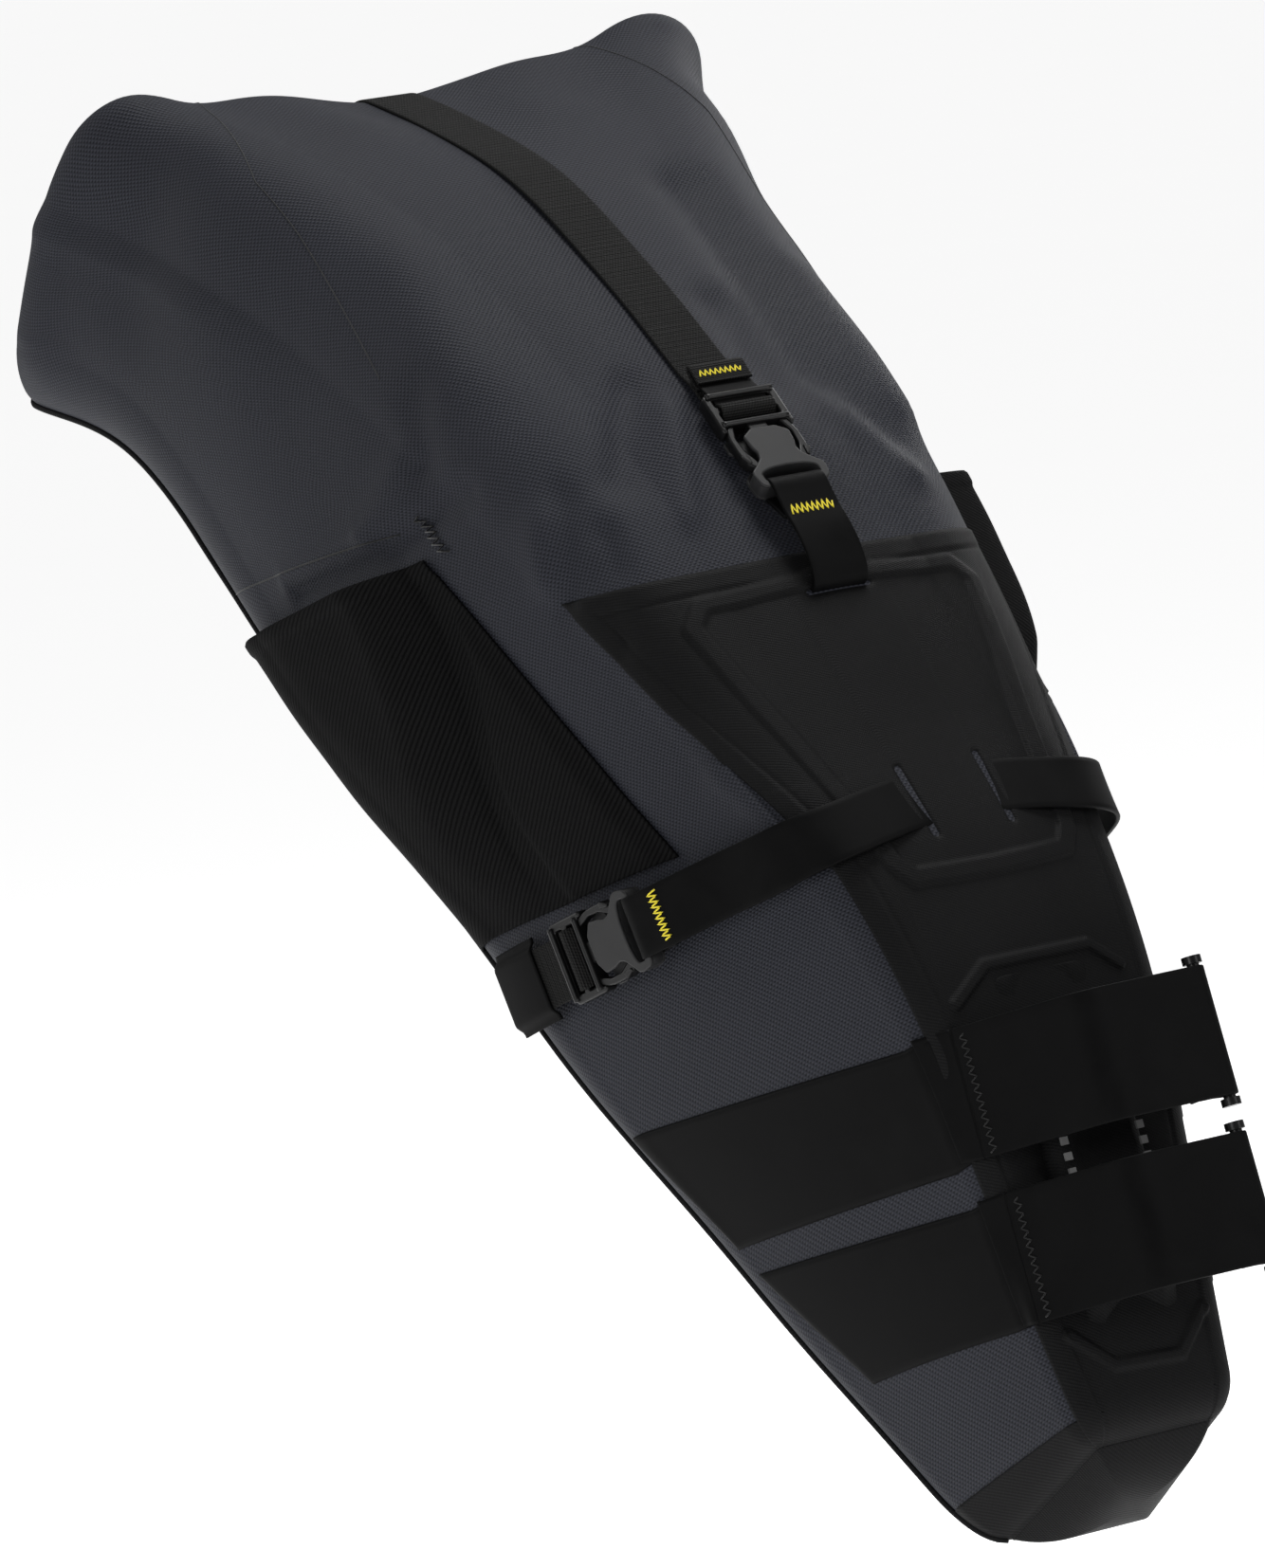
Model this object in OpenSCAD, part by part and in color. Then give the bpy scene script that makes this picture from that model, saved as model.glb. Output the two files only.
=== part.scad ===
// Saddle bag: a welded fabric bag that straps to a seatpost and to the saddle rails.
// +X points forwards, +Y to the rider's left, +Z up. The origin is on the seatpost's
// centre line, midway between the two seatpost straps.

/* [Seatpost] */
// Lean of the seatpost from vertical, degrees
post_lean = 17; // [14:1:19]
// Radius of the groove that the seatpost sits in
post_r = 15.8; // [13.6:0.1:15.8]
// Length of the groove along the seatpost
pad_len = 150; // [130:5:150]
// Width of the pad that holds the groove
pad_w = 42; // [40:1:44]
// Height of each seatpost strap
post_strap_w = 50; // [44:1:50]
// Free height between the two seatpost straps
post_strap_gap = 14; // [12:1:20]
// Thickness of the strap fabric
strap_t = 1.8; // [1.4:0.1:2.2]

/* [Shell] */
// Thickness of the bag's fabric walls
wall = 1.5; // [1.2:0.1:1.8]
// Thickness of the plastic sheets inside
sheet_t = 1.6; // [1.2:0.1:2]
// Height of the moulded ridges on the saddle panel
ridge_h = 1.2; // [0.8:0.1:1.4]
// How far the stretch pockets stand out when empty
pocket_bulge = 15; // [10:1:18]

/* [Straps and buckles] */
// Width of the webbing
web_w = 25; // [20:1:25]
// Thickness of the webbing
web_t = 1.4; // [1:0.1:1.6]
// Width of each buckle
buckle_w = 33; // [32:1:36]
// Thickness of each buckle
buckle_t = 8; // [7:0.5:9]
// Length of the socket half of a buckle
socket_len = 31; // [30:1:34]
// Length of the ladder-lock half outside the socket
lock_len = 21; // [20:1:24]
// Gap kept between parts that slide over each other
clearance = 0.4; // [0.3:0.05:0.5]
// Extra height of the rail straps where they cross the saddle rails
rail_arch = 2; // [1:0.5:4]

/* [Closure] */
// Height of the rolled closure
roll_h = 34; // [28:1:36]
// Depth of the rolled closure
roll_d = 24; // [20:1:26]

/* [Hidden] */
PRONGS = ["rail_right", "rail_left", "centre", "closure"];

navy = [0.16, 0.17, 0.21];
coated = [0.09, 0.09, 0.1];
stretch = [0.06, 0.06, 0.07];
moulded = [0.2, 0.2, 0.21];

// Stations along the bag, nose to tail. Each is a cross-section between a point on the
// front line and a point on the base line:
// front x, z; base x, z; half width at the front, at the base;
// corner radius at the front, at the base; crown of the front; swell of the sides
STATIONS = [
    [13, -104, -62, -158, 35, 42, 12, 12, 0, 0],
    [-3, -60, -137, -88, 41, 68, 14, 20, 1, 2],
    [-19, -6, -190, -34, 47, 86, 16, 24, 1, 3],
    [-37, 50, -243, 16, 54, 102, 20, 28, 2, 4],
    [-68, 104, -291, 66, 62, 114, 26, 32, 4, 5],
    [-112, 154, -340, 114, 73, 123, 36, 36, 5, 6],
    [-158, 205, -388, 161, 84, 131, 46, 40, 7, 6],
    [-228, 276, -442, 214, 98, 138, 58, 44, 8, 6],
    [-345, 360, -495, 268, 114, 142, 60, 44, 8, 4],
    [-470, 408, -542, 292, 138, 140, 32, 32, 0, 0]];
TAIL = len(STATIONS) - 1;
PANEL_END = 6.2;   // station where the saddle panel meets the top panel
SEAM = 0.29;       // girth position of the seam beside the saddle panel
BASE_SEAM = 0.72;  // girth position of the seam beside the base

// Smooth values between stations
function row(s) = let(i = min(floor(s), TAIL - 1), u = s - i,
    a = STATIONS[max(i - 1, 0)], b = STATIONS[i], c = STATIONS[i + 1],
    d = STATIONS[min(i + 2, TAIL)])
    0.5 * (2 * b + (c - a) * u + (2 * a - 5 * b + 4 * c - d) * u * u
    + (3 * b - a - 3 * c + d) * u * u * u);
function depth(q) = norm([q[2] - q[0], q[3] - q[1]]);

// A point of a cross-section, 0 at the front's middle to 1 at the base's middle, moved
// out by o: [half width, depth]
function outline(q, t, o) = let(d = depth(q), flare = atan2(q[5] - q[4], d),
    turn_f = 90 - flare, turn_b = 90 + flare, in_f = q[4] - q[6] * tan(turn_f / 2),
    in_b = q[5] - q[7] * tan(turn_b / 2), out = [cos(flare), -sin(flare)],
    f0 = [in_f, q[6]], b0 = [in_b, d - q[7]])
    t < 0.2 ? let(u = t / 0.2) [in_f * u, -q[8] * (1 - u * u) - o]
    : t < 0.35 ? let(a = -90 + turn_f * (t - 0.2) / 0.15)
        f0 + (q[6] + o) * [cos(a), sin(a)]
    : t < 0.65 ? let(u = (t - 0.35) / 0.3)
        (f0 + q[6] * out) * (1 - u) + (b0 + q[7] * out) * u
        + out * (4 * q[9] * u * (1 - u) + o)
    : t < 0.8 ? let(a = -flare + turn_b * (t - 0.65) / 0.15)
        b0 + (q[7] + o) * [cos(a), sin(a)]
    : [in_b * (1 - t) / 0.2, d + o];

// A point on the bag: station s, girth position t (negative on the right), o outwards
// (past 1, the girth position carries on up the right side)
function at(s, t, o = 0) = let(q = row(s), g = t > 1 ? t - 2 : t,
    p = outline(q, abs(g), o), e = [q[2] - q[0], 0, q[3] - q[1]] / depth(q))
    [q[0], 0, q[1]] + e * p[1] + [0, (g < 0 ? -1 : 1) * p[0], 0];
function unit(v) = v / norm(v);
function mix(a, b, u) = a + (b - a) * u;
function steps(a, b, n) = [for (i = [0:n]) mix(a, b, i / n)];

// A closed sheet between two surfaces, functions of u and v, at the values us and vs
module sheet(us, vs, lower, upper) {
    nu = len(us) - 1;
    nv = len(vs) - 1;
    n = (nu + 1) * (nv + 1);
    w = nv + 1;
    grid = [for (f = [lower, upper], u = us, v = vs) f(u, v)];
    faces = concat(
        [for (i = [0:nu - 1], j = [0:nv - 1]) let(k = i * w + j) each
            [[k, k + 1, k + w + 1], [k, k + w + 1, k + w],
            [n + k, n + k + w + 1, n + k + 1], [n + k, n + k + w, n + k + w + 1]]],
        [for (i = [0:nu - 1], end = [0, nv]) let(k = i * w + end, m = k + w)
            each end == 0 ? [[k, m, n + m], [k, n + m, n + k]]
            : [[m, k, n + k], [m, n + k, n + m]]],
        [for (j = [0:nv - 1], end = [0, nu]) let(k = end * w + j, m = k + 1)
            each end == 0 ? [[m, k, n + k], [m, n + k, n + m]]
            : [[k, m, n + m], [k, n + m, n + k]]]);
    polyhedron(grid, faces);
}

// A sheet that follows the bag through the stations and girth positions listed
module skin(stations, girths, low, high) sheet(stations, girths,
    function(s, t) at(s, t, low), function(s, t) at(s, t, high));

// ---------- the bag's shell ----------

FRONT_GIRTHS = [-SEAM, -0.26, -0.23, -0.2, -0.1, 0, 0.1, 0.2, 0.23, 0.26, SEAM];
SIDE_GIRTHS = [SEAM, 0.32, 0.35, 0.45, 0.55, 0.65, 0.685, BASE_SEAM];
BASE_GIRTHS = [BASE_SEAM, 0.76, 0.8, 1, 1.2, 1.24, 2 - BASE_SEAM];
PANEL_STEPS = steps(0, PANEL_END, 15);
TOP_STEPS = steps(PANEL_END, TAIL, 7);
BAG_STEPS = concat(PANEL_STEPS, [for (s = TOP_STEPS) if (s > PANEL_END) s]);
module saddle_panel() color(coated) skin(PANEL_STEPS, FRONT_GIRTHS, -wall, 0);
module top_panel() color(navy) skin(TOP_STEPS, FRONT_GIRTHS, -wall, 0);
module side_panel(side) color(navy) mirror([0, side > 0 ? 0 : 1, 0])
    skin(BAG_STEPS, SIDE_GIRTHS, -wall, 0);
module base_panel() color(navy) skin(BAG_STEPS, BASE_GIRTHS, -wall, 0);

// The end of the nose, a shallow dish across the first station
module nose_cap() color(coated) in_section(0)
    linear_extrude(wall) section_outline(0, -wall - 0.2);

// A cross-section's outline as a polygon: x from front to base, y across
module section_outline(s, o) {
    q = row(s);
    half = [for (k = [0:24]) outline(q, k / 24, o)];
    polygon(concat([for (p = half) [p[1], p[0]]],
        [for (k = [23:-1:1]) [half[k][1], -half[k][0]]]));
}

// Places children in a station's plane: x from front to base, y across, z to the tail
module in_section(s) {
    q = row(s);
    translate([q[0], 0, q[1]])
        rotate([0, atan2(q[0] - q[2], q[1] - q[3]) + 90, 0]) mirror([0, 0, 1]) children();
}

// Raised strip from [s, t] to [s, t] on the panel, the same width all along
module ridge(a, b, n) {
    along = unit(at(b[0], b[1]) - at(a[0], a[1]));
    half = 2.5;
    sheet(steps(0, 1, n), [0, 1], function(u, v) ridge_point(a, b, u, v, half, 0.15, along),
        function(u, v) ridge_point(a, b, u, v, half * 0.6, ridge_h, along));
}
function ridge_point(a, b, u, v, half, o, along) = let(
    s = mix(a[0], b[0], u), t = mix(a[1], b[1], u), p = at(s, t, o),
    out = unit(at(s, t, 5) - at(s, t, 0))) p + cross(out, along) * half * (1 - 2 * v);
module ridge_loop(corners) {
    n = len(corners);
    for (i = [0:n - 1]) ridge(corners[i], corners[(i + 1) % n], 4);
}
module saddle_frame() color(coated)
    ridge_loop([[4.02, -0.185], [4.02, 0.185], [4.25, 0.2], [5.75, 0.232], [5.95, 0.22],
        [5.95, -0.22], [5.75, -0.232], [4.25, -0.2]]);
module crest_ridge() color(coated)
    for (side = [-1, 1]) {
        ridge([3.02, side * 0.15], [3.26, side * 0.095], 2);
        if (side > 0) ridge([3.26, -0.095], [3.26, 0.095], 2);
    }
module nose_ridge() color(coated)
    for (side = [-1, 1]) {
        ridge([0.84, side * 0.2], [0.59, side * 0.09], 2);
        if (side > 0) ridge([0.59, -0.09], [0.59, 0.09], 2);
    }
module front_stiffener() color("dimgray")
    skin(steps(0.4, 5.9, 14), [-0.19, -0.1, 0, 0.1, 0.19],
        -wall - 0.4 - sheet_t, -wall - 0.4);
module base_stiffener() color("dimgray")
    skin(steps(0.4, 4.6, 10), [0.83, 1, 1.17], -wall - 0.3 - sheet_t, -wall - 0.3);
module base_piping(side) color(coated) mirror([0, side > 0 ? 0 : 1, 0])
    skin(BAG_STEPS, [BASE_SEAM - 0.008, BASE_SEAM, BASE_SEAM + 0.008], 0.2, 1.5);

// ---------- seatpost pad and straps ----------

// x forwards from the seatpost, y across, z up along it
module along_post() rotate([0, -post_lean, 0]) children();
pad_back = -20.6;
pad_face = -post_r * cos(60);
module seatpost_pad() color(coated) along_post() difference() {
    translate([pad_back, -pad_w / 2, -pad_len / 2 - 2])
        cube([pad_face - pad_back, pad_w, pad_len]);
    translate([0, 0, -pad_len]) cylinder(r = post_r, h = 2 * pad_len, $fn = 64);
    for (side = [-1, 1]) translate([pad_back, side * (pad_w / 2 + 4), -pad_len])
        rotate([0, 0, side * -30]) translate([0, side < 0 ? -20 : 0, 0])
        cube([30, 20, 2 * pad_len]);
}
module grip_strips() color("gray") along_post()
    for (side = [-1, 1], k = [0:8])
        translate([pad_face + 0.6, side * 17, -24 + k * 6]) cube([1.2, 3, 3], center = true);

// The strap's path seen along the seatpost: it runs from its seam beside the panel,
// round the front of the seatpost and across to the hook. The upper strap comes first.
strap_level = (post_strap_w + post_strap_gap) / 2;
LEVELS = [strap_level, -strap_level];
SEAMS = [[-20, -44], [-20, -40]];
HOOKS = [[14, 42], [14, 40.5]];
TAB_ROOTS = [[-22, 51], [-22, 45]];
strap_r = post_r + 1;
function bearing(p) = atan2(p[1], p[0]);
function square_to(d) = [d[1], -d[0]];
function arc_between(a, b, r) = [for (k = [0:10]) let(t = mix(bearing(a) + acos(r / norm(a)),
    bearing(b) - acos(r / norm(b)), k / 10)) r * [cos(t), sin(t)]];
module seatpost_strap(i) color(coated) {
    inner = arc_between(SEAMS[i], HOOKS[i], strap_r);
    outer = arc_between(SEAMS[i], HOOKS[i], strap_r + strap_t);
    along_post() translate([0, 0, LEVELS[i] - post_strap_w / 2])
        linear_extrude(post_strap_w) polygon(concat([SEAMS[i]], inner, [HOOKS[i],
            HOOKS[i] + square_to(unit(HOOKS[i] - inner[10])) * strap_t],
            [for (k = [10:-1:0]) outer[k]],
            [SEAMS[i] + square_to(unit(inner[0] - SEAMS[i])) * strap_t]));
}

// Bar hook at the strap's end, with a knob at each end of the bar
hook_r = 2.4;
module strap_hook(i) color(moulded) along_post()
    translate([HOOKS[i][0] + strap_t / 2, HOOKS[i][1] + hook_r + 0.1, LEVELS[i]]) {
        cylinder(r = hook_r, h = post_strap_w + 4, center = true, $fn = 24);
        for (end = [-1, 1]) translate([0, 0, end * (post_strap_w / 2 + 2.5)])
            cylinder(r = hook_r + 1.4, h = 3, center = true, $fn = 24);
    }

// Fabric tab on the left that the hook catches, with a bar sewn into its end
module hook_tab(i) color(coated) along_post()
    translate([0, 0, LEVELS[i] - post_strap_w / 2 + 3]) {
        end = HOOKS[i] + [-3, 5.4];
        out = -square_to(unit(end - TAB_ROOTS[i])) * strap_t;
        linear_extrude(post_strap_w - 6)
            polygon([TAB_ROOTS[i], end, end + out, TAB_ROOTS[i] + out]);
        translate([end[0], end[1] + strap_t / 2, 0])
            cylinder(r = 2.2, h = post_strap_w - 6, $fn = 24);
    }

// Patch that carries a seatpost strap's load into the side of the bag
module strap_patch(side, i) color(coated) mirror([0, side > 0 ? 0 : 1, 0])
    sheet(steps(0, 1, 6), steps(0, 1, 8), function(u, v) patch_point(i, u, v, 0.3),
        function(u, v) patch_point(i, u, v, 1.3));
PATCH_STATIONS = [[2.12, 2.95], [0.99, 1.86]];
PATCH_ENDS = [[1.78, 0.66, 2.62, 0.69], [0.85, 0.62, 1.6, 0.66]];
function patch_point(i, u, v, o) = let(p = PATCH_STATIONS[i], e = PATCH_ENDS[i])
    at(mix(mix(p[0], p[1], u), mix(e[0], e[2], u), v),
    mix(SEAM + 0.004, mix(e[1], e[3], u), v), o);

// ---------- side-release buckles ----------

// x runs from the ladder-lock to the socket, z out of the bag, z = 0 on the webbing's back
lift = web_t + 0.3;
wall_b = 1.3;
pocket_half = buckle_w / 2 - 2.2;
module socket() color(moulded) translate([0, 0, lift]) difference() {
    linear_extrude(buckle_t) polygon([[0, -buckle_w / 2 + 1.5], [1.5, -buckle_w / 2],
        [7, -buckle_w / 2], [9, -buckle_w / 2 + 5], [18, -buckle_w / 2 + 5.5],
        [22, -buckle_w / 2], [socket_len - 2, -buckle_w / 2],
        [socket_len, -buckle_w / 2 + 2], [socket_len, buckle_w / 2 - 2],
        [socket_len - 2, buckle_w / 2], [22, buckle_w / 2], [18, buckle_w / 2 - 5.5],
        [9, buckle_w / 2 - 5], [7, buckle_w / 2], [1.5, buckle_w / 2],
        [0, buckle_w / 2 - 1.5]]);
    translate([-1, -pocket_half, wall_b])
        cube([21.4, 2 * pocket_half, buckle_t - 2 * wall_b]);
    translate([socket_len - 7, -web_w / 2 - 1, -1]) cube([4, web_w + 2, buckle_t + 2]);
    translate([-0.5, -5, buckle_t - wall_b - 0.1]) cube([6, 10, 3]);
}

// Ladder-lock half: a frame with two bars, and a tongue that guides it into the socket
tongue_t = buckle_t - 2 * wall_b - 2 * clearance;
module ladder_lock() color(moulded) translate([0, 0, lift]) {
    difference() {
        translate([-lock_len, -buckle_w / 2, 0.6])
            cube([lock_len - clearance, buckle_w, buckle_t - 1.6]);
        for (x = [-lock_len + 3, -lock_len + 9.5]) translate([x, -web_w / 2 - 0.5, -1])
            cube([3.5, web_w + 1, buckle_t + 2]);
        translate([-3.4, -buckle_w / 2 - 1, -1]) cube([4, buckle_w + 2, 3]);
        for (side = [-1, 1]) translate([-4.2, side * 12.4 - 3.6, -1]) cube([6, 7.2, 12]);
    }
    translate([-4, -4.5, wall_b + clearance]) cube([22, 9, tongue_t]);
}

// Sprung prong: an arm with the pad that shows in the socket's side window. It bends at
// its root, at x = -3.2 and y = 11.6.
module prong(side) color(moulded) mirror([0, side < 0 ? 1 : 0, 0])
    translate([0, 0, lift + wall_b + clearance]) linear_extrude(tongue_t)
    polygon([[-3.7, 10.2], [8, 10.6], [12, 9.4], [17.5, 9.8], [19, 11.2], [16, 13.2],
        [10, 13.9], [8.6, 12.8], [-3.7, 13]]);

// Moves x and z axes onto two directions at a point
module frame_to(p, x_dir, z_dir) {
    x = unit(x_dir);
    y = unit(cross(z_dir, x));
    z = cross(x, y);
    multmatrix([[x[0], y[0], z[0], p[0]], [x[1], y[1], z[1], p[1]],
        [x[2], y[2], z[2], p[2]], [0, 0, 0, 1]]) children();
}
function facing(s, t) = let(e = 0.02) unit(cross(at(s + e, t) - at(s - e, t),
    at(s, t + e) - at(s, t - e)));

// Rail buckle: lies on the side panel between the rail strap and the base edge
rail_s = [4.06, 3.76];
rail_t = [-0.455, -0.64];
rail_off = 7.5;
rail_from = at(rail_s[1], rail_t[1], rail_off);
rail_to = at(rail_s[0], rail_t[0], rail_off);
facing_sign = facing(3.9, -0.52)[1] < 0 ? 1 : -1;
rail_out = facing_sign * facing(3.9, -0.52);
rail_dir = unit(rail_to - rail_from);
rail_mouth = mix(rail_from, rail_to, 0.5) + rail_dir * 6;
module at_rail(side) mirror([0, side > 0 ? 1 : 0, 0])
    frame_to(rail_mouth, rail_dir, rail_out) children();

// Centre buckle: lies along the middle of the top
centre_from = at(7.06, 0, 1.6);
centre_to = at(6.4, 0, 2.4);
centre_dir = unit(centre_to - centre_from);
centre_out = [-centre_dir[2], 0, centre_dir[0]];
centre_mouth = mix(centre_from, centre_to, 0.47);
module at_centre() frame_to(centre_mouth, centre_dir, centre_out) children();

// ---------- saddle rail straps ----------

// The rail strap leaves a slot in the panel, lies over the saddle rail and comes down to
// the socket's bar. Its path is given from 0 at the slot to 1 at the bar.
slot_s = 4.46;
slot_t = 0.075;
rail_bar = rail_mouth + rail_dir * (socket_len - 1) + rail_out * (lift + 2);
function rail_station(k) = slot_s - 0.08 * k - 0.35 * k * k;
function rail_girth(k) = -slot_t - 0.4 * k;
function rail_path(k) = at(rail_station(k), rail_girth(k),
    0.3 + 10.2 * k + rail_arch * sin(180 * k));
function rail_strap_point(u, v, o) = let(s = rail_station(u), t = rail_girth(u),
    p = rail_path(u) + (rail_bar - rail_path(1)) * u * u,
    way = unit(rail_path(u + 0.01) - rail_path(u - 0.01)),
    side = unit(cross(facing_sign * facing(s, t), way)))
    p + side * web_w * (v - 0.5) + cross(way, side) * o;
module rail_strap(side) color(coated) mirror([0, side > 0 ? 1 : 0, 0])
    sheet(steps(0, 0.985, 16), [0, 0.5, 1],
        function(u, v) rail_strap_point(u, v, -strap_t / 2),
        function(u, v) rail_strap_point(u, v, strap_t / 2));
module rail_webbing(side) color(stretch) at_rail(side)
    translate([-46, -web_w / 2, 0]) cube([44, web_w, web_t]);
module webbing_sleeve(side) color(coated) at_rail(side) difference() {
    translate([-70, -web_w / 2 - 4, -1.4]) cube([27, web_w + 8, web_t + 2.8]);
    translate([-71, -web_w / 2 - 0.5, -0.2]) cube([29, web_w + 1, web_t + 0.4]);
}

// ---------- centre strap ----------

module centre_strap() color(coated) sheet(steps(0, 1, 10), [0, 1],
    function(u, v) centre_strap_point(u, v, 0),
    function(u, v) centre_strap_point(u, v, strap_t));
function centre_strap_point(u, v, o) = let(start = at(5.98, 0, 0.4),
    end = centre_mouth + centre_dir * (socket_len - 1.5) + centre_out * (lift + 1.5),
    p = mix(start, end, u) + centre_out * (9 * u * (1 - u) + o))
    p + [0, web_w / 2 * (2 * v - 1), 0];
module centre_webbing() color(stretch) sheet(steps(7, 8.97, 14), [-0.5, 0.5],
    function(s, y) at(s, 0, 0.5) + [0, web_w * y, 0],
    function(s, y) at(s, 0, 0.5 + web_t) + [0, web_w * y, 0]);
module centre_tab() color(stretch) at_centre()
    translate([-lock_len - 16, -web_w / 2, lift + 0.6]) cube([15.6, web_w, 2 * web_t]);

// ---------- stretch pockets ----------

// The pocket is sewn on three sides and stands open at its top edge
function pocket_point(u, v, o) = let(low = mix(4.42, 4.02, v), high = mix(6.62, 6.5, v),
    s = mix(low, high, u), t = mix(0.425, 0.755, v),
    lift_off = pocket_bulge * pow(sin(180 * pow(v, 0.8)), 0.8) * sin(min(1, u * 1.25) * 90))
    at(s, -t, 0.3 + o + lift_off);
module stretch_pocket(side) color(stretch) mirror([0, side > 0 ? 1 : 0, 0])
    sheet(steps(0, 1, 10), steps(0, 1, 12), function(u, v) pocket_point(u, v, 0),
        function(u, v) pocket_point(u, v, 1.2));

// ---------- rolled closure ----------

tail_row = row(TAIL);
tail_depth = depth(tail_row);
roll_top = tail_depth - roll_h - 2;
roll_len = 264;
module in_tail() in_section(TAIL) children();
module closure_flap() color(navy) in_tail() translate([0, 0, clearance])
    linear_extrude(wall) section_outline(TAIL, -0.4);
module roll_section(inset) {
    r = roll_d / 2 - inset;
    for (x = [roll_top + roll_d / 2, roll_top + roll_h - roll_d / 2])
        translate([x, clearance + wall + roll_d / 2]) circle(r, $fn = 48);
    translate([roll_top + roll_d / 2, clearance + wall + inset])
        square([roll_h - roll_d, 2 * r]);
}
module across_tail(length) rotate([90, 0, 0]) translate([0, 0, -length / 2])
    linear_extrude(length) children();
module closure_roll() color(navy) in_tail() across_tail(roll_len) difference() {
    roll_section(0);
    translate([roll_top + 5, clearance + wall + roll_d / 2 - 1.2]) square([roll_h - 10, 2.4]);
}
module closure_stiffener() color("dimgray") in_tail() across_tail(roll_len - 20)
    translate([roll_top + 6, clearance + wall + roll_d / 2 - 0.8]) square([roll_h - 12, 1.6]);
module closure_webbing() color(stretch) in_tail()
    translate([3, -web_w / 2, clearance + wall + 0.2]) cube([roll_top - 3.4, web_w, web_t]);

// The roll's ends fold behind it and clip together
strap_z = clearance + wall + roll_d + 0.3;
module at_closure() in_tail() translate([roll_top + roll_h / 2, 2, strap_z])
    rotate([0, 0, 90]) children();
module closure_strap(side) color(stretch) at_closure()
    translate([side > 0 ? 8 : -roll_len / 2, -web_w / 2, 0])
    cube([roll_len / 2 - 10, web_w, web_t]);

module buckle_part(place, part) {
    if (place == 0) at_rail(-1) buckle_piece(part);
    if (place == 1) at_rail(1) buckle_piece(part);
    if (place == 2) at_centre() buckle_piece(part);
    if (place == 3) at_closure() buckle_piece(part);
}
module buckle_piece(part) {
    if (part == "socket") socket();
    if (part == "lock") ladder_lock();
    if (part == "a") prong(1);
    if (part == "b") prong(-1);
}

saddle_panel();
top_panel();
side_panel(-1);  // side_panel_right
side_panel(1);  // side_panel_left
base_panel();
nose_cap();
saddle_frame();
crest_ridge();
nose_ridge();
front_stiffener();
base_stiffener();
base_piping(-1);  // base_piping_right
base_piping(1);  // base_piping_left
seatpost_pad();
grip_strips();
strap_patch(-1, 0);  // strap_patch_upper_right
strap_patch(1, 0);  // strap_patch_upper_left
strap_patch(-1, 1);  // strap_patch_lower_right
strap_patch(1, 1);  // strap_patch_lower_left
seatpost_strap(0);  // seatpost_strap_upper
seatpost_strap(1);  // seatpost_strap_lower
strap_hook(0);  // strap_hook_upper
strap_hook(1);  // strap_hook_lower
hook_tab(0);  // hook_tab_upper
hook_tab(1);  // hook_tab_lower
rail_strap(-1);  // rail_strap_right
rail_strap(1);  // rail_strap_left
buckle_part(0, "socket");  // rail_socket_right
buckle_part(1, "socket");  // rail_socket_left
buckle_part(0, "lock");  // rail_lock_right
buckle_part(1, "lock");  // rail_lock_left
rail_webbing(-1);  // rail_webbing_right
rail_webbing(1);  // rail_webbing_left
webbing_sleeve(-1);  // webbing_sleeve_right
webbing_sleeve(1);  // webbing_sleeve_left
centre_strap();
buckle_part(2, "socket");  // centre_socket
buckle_part(2, "lock");  // centre_lock
centre_tab();
centre_webbing();
stretch_pocket(-1);  // stretch_pocket_right
stretch_pocket(1);  // stretch_pocket_left
closure_flap();
closure_roll();
closure_stiffener();
closure_webbing();
closure_strap(-1);  // closure_strap_right
closure_strap(1);  // closure_strap_left
buckle_part(3, "socket");  // closure_socket
buckle_part(3, "lock");  // closure_lock
for (place = [0:3], part = ["a", "b"])
    buckle_part(place, part);
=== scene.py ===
"""Saddle bag: the fabric, straps, buckles and stitching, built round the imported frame."""
import math

import bpy
import numpy as np
from mathutils import Matrix, Vector


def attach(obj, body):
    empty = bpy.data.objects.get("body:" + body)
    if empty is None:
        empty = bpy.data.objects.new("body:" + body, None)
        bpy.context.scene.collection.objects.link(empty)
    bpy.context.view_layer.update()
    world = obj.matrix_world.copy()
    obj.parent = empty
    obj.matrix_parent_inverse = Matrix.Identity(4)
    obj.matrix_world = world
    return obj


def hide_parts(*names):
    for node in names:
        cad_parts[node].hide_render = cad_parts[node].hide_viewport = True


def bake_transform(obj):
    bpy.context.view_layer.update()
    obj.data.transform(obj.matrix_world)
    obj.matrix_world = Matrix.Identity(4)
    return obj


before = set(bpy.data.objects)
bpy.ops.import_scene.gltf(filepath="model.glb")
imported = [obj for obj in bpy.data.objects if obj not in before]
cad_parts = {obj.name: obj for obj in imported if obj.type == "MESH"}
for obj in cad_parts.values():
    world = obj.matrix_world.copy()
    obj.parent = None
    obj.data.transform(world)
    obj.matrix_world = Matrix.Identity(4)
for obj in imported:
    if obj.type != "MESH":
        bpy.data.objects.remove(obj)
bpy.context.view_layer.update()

MM = 0.001
TAU = 2 * math.pi

# ---------- camera, floor and light ----------

CAMERA_AT = (2.4809, -1.6178, 0.5358)
CAMERA_AZIMUTH = 60.04
CAMERA_ELEVATION = 7.333
CAMERA_ROLL = -6.753
CAMERA_LENS = 185.42
FLOOR_Z = -0.46
FLOOR_HALF = 120
FLOOR_GLOW = 0.75

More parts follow.
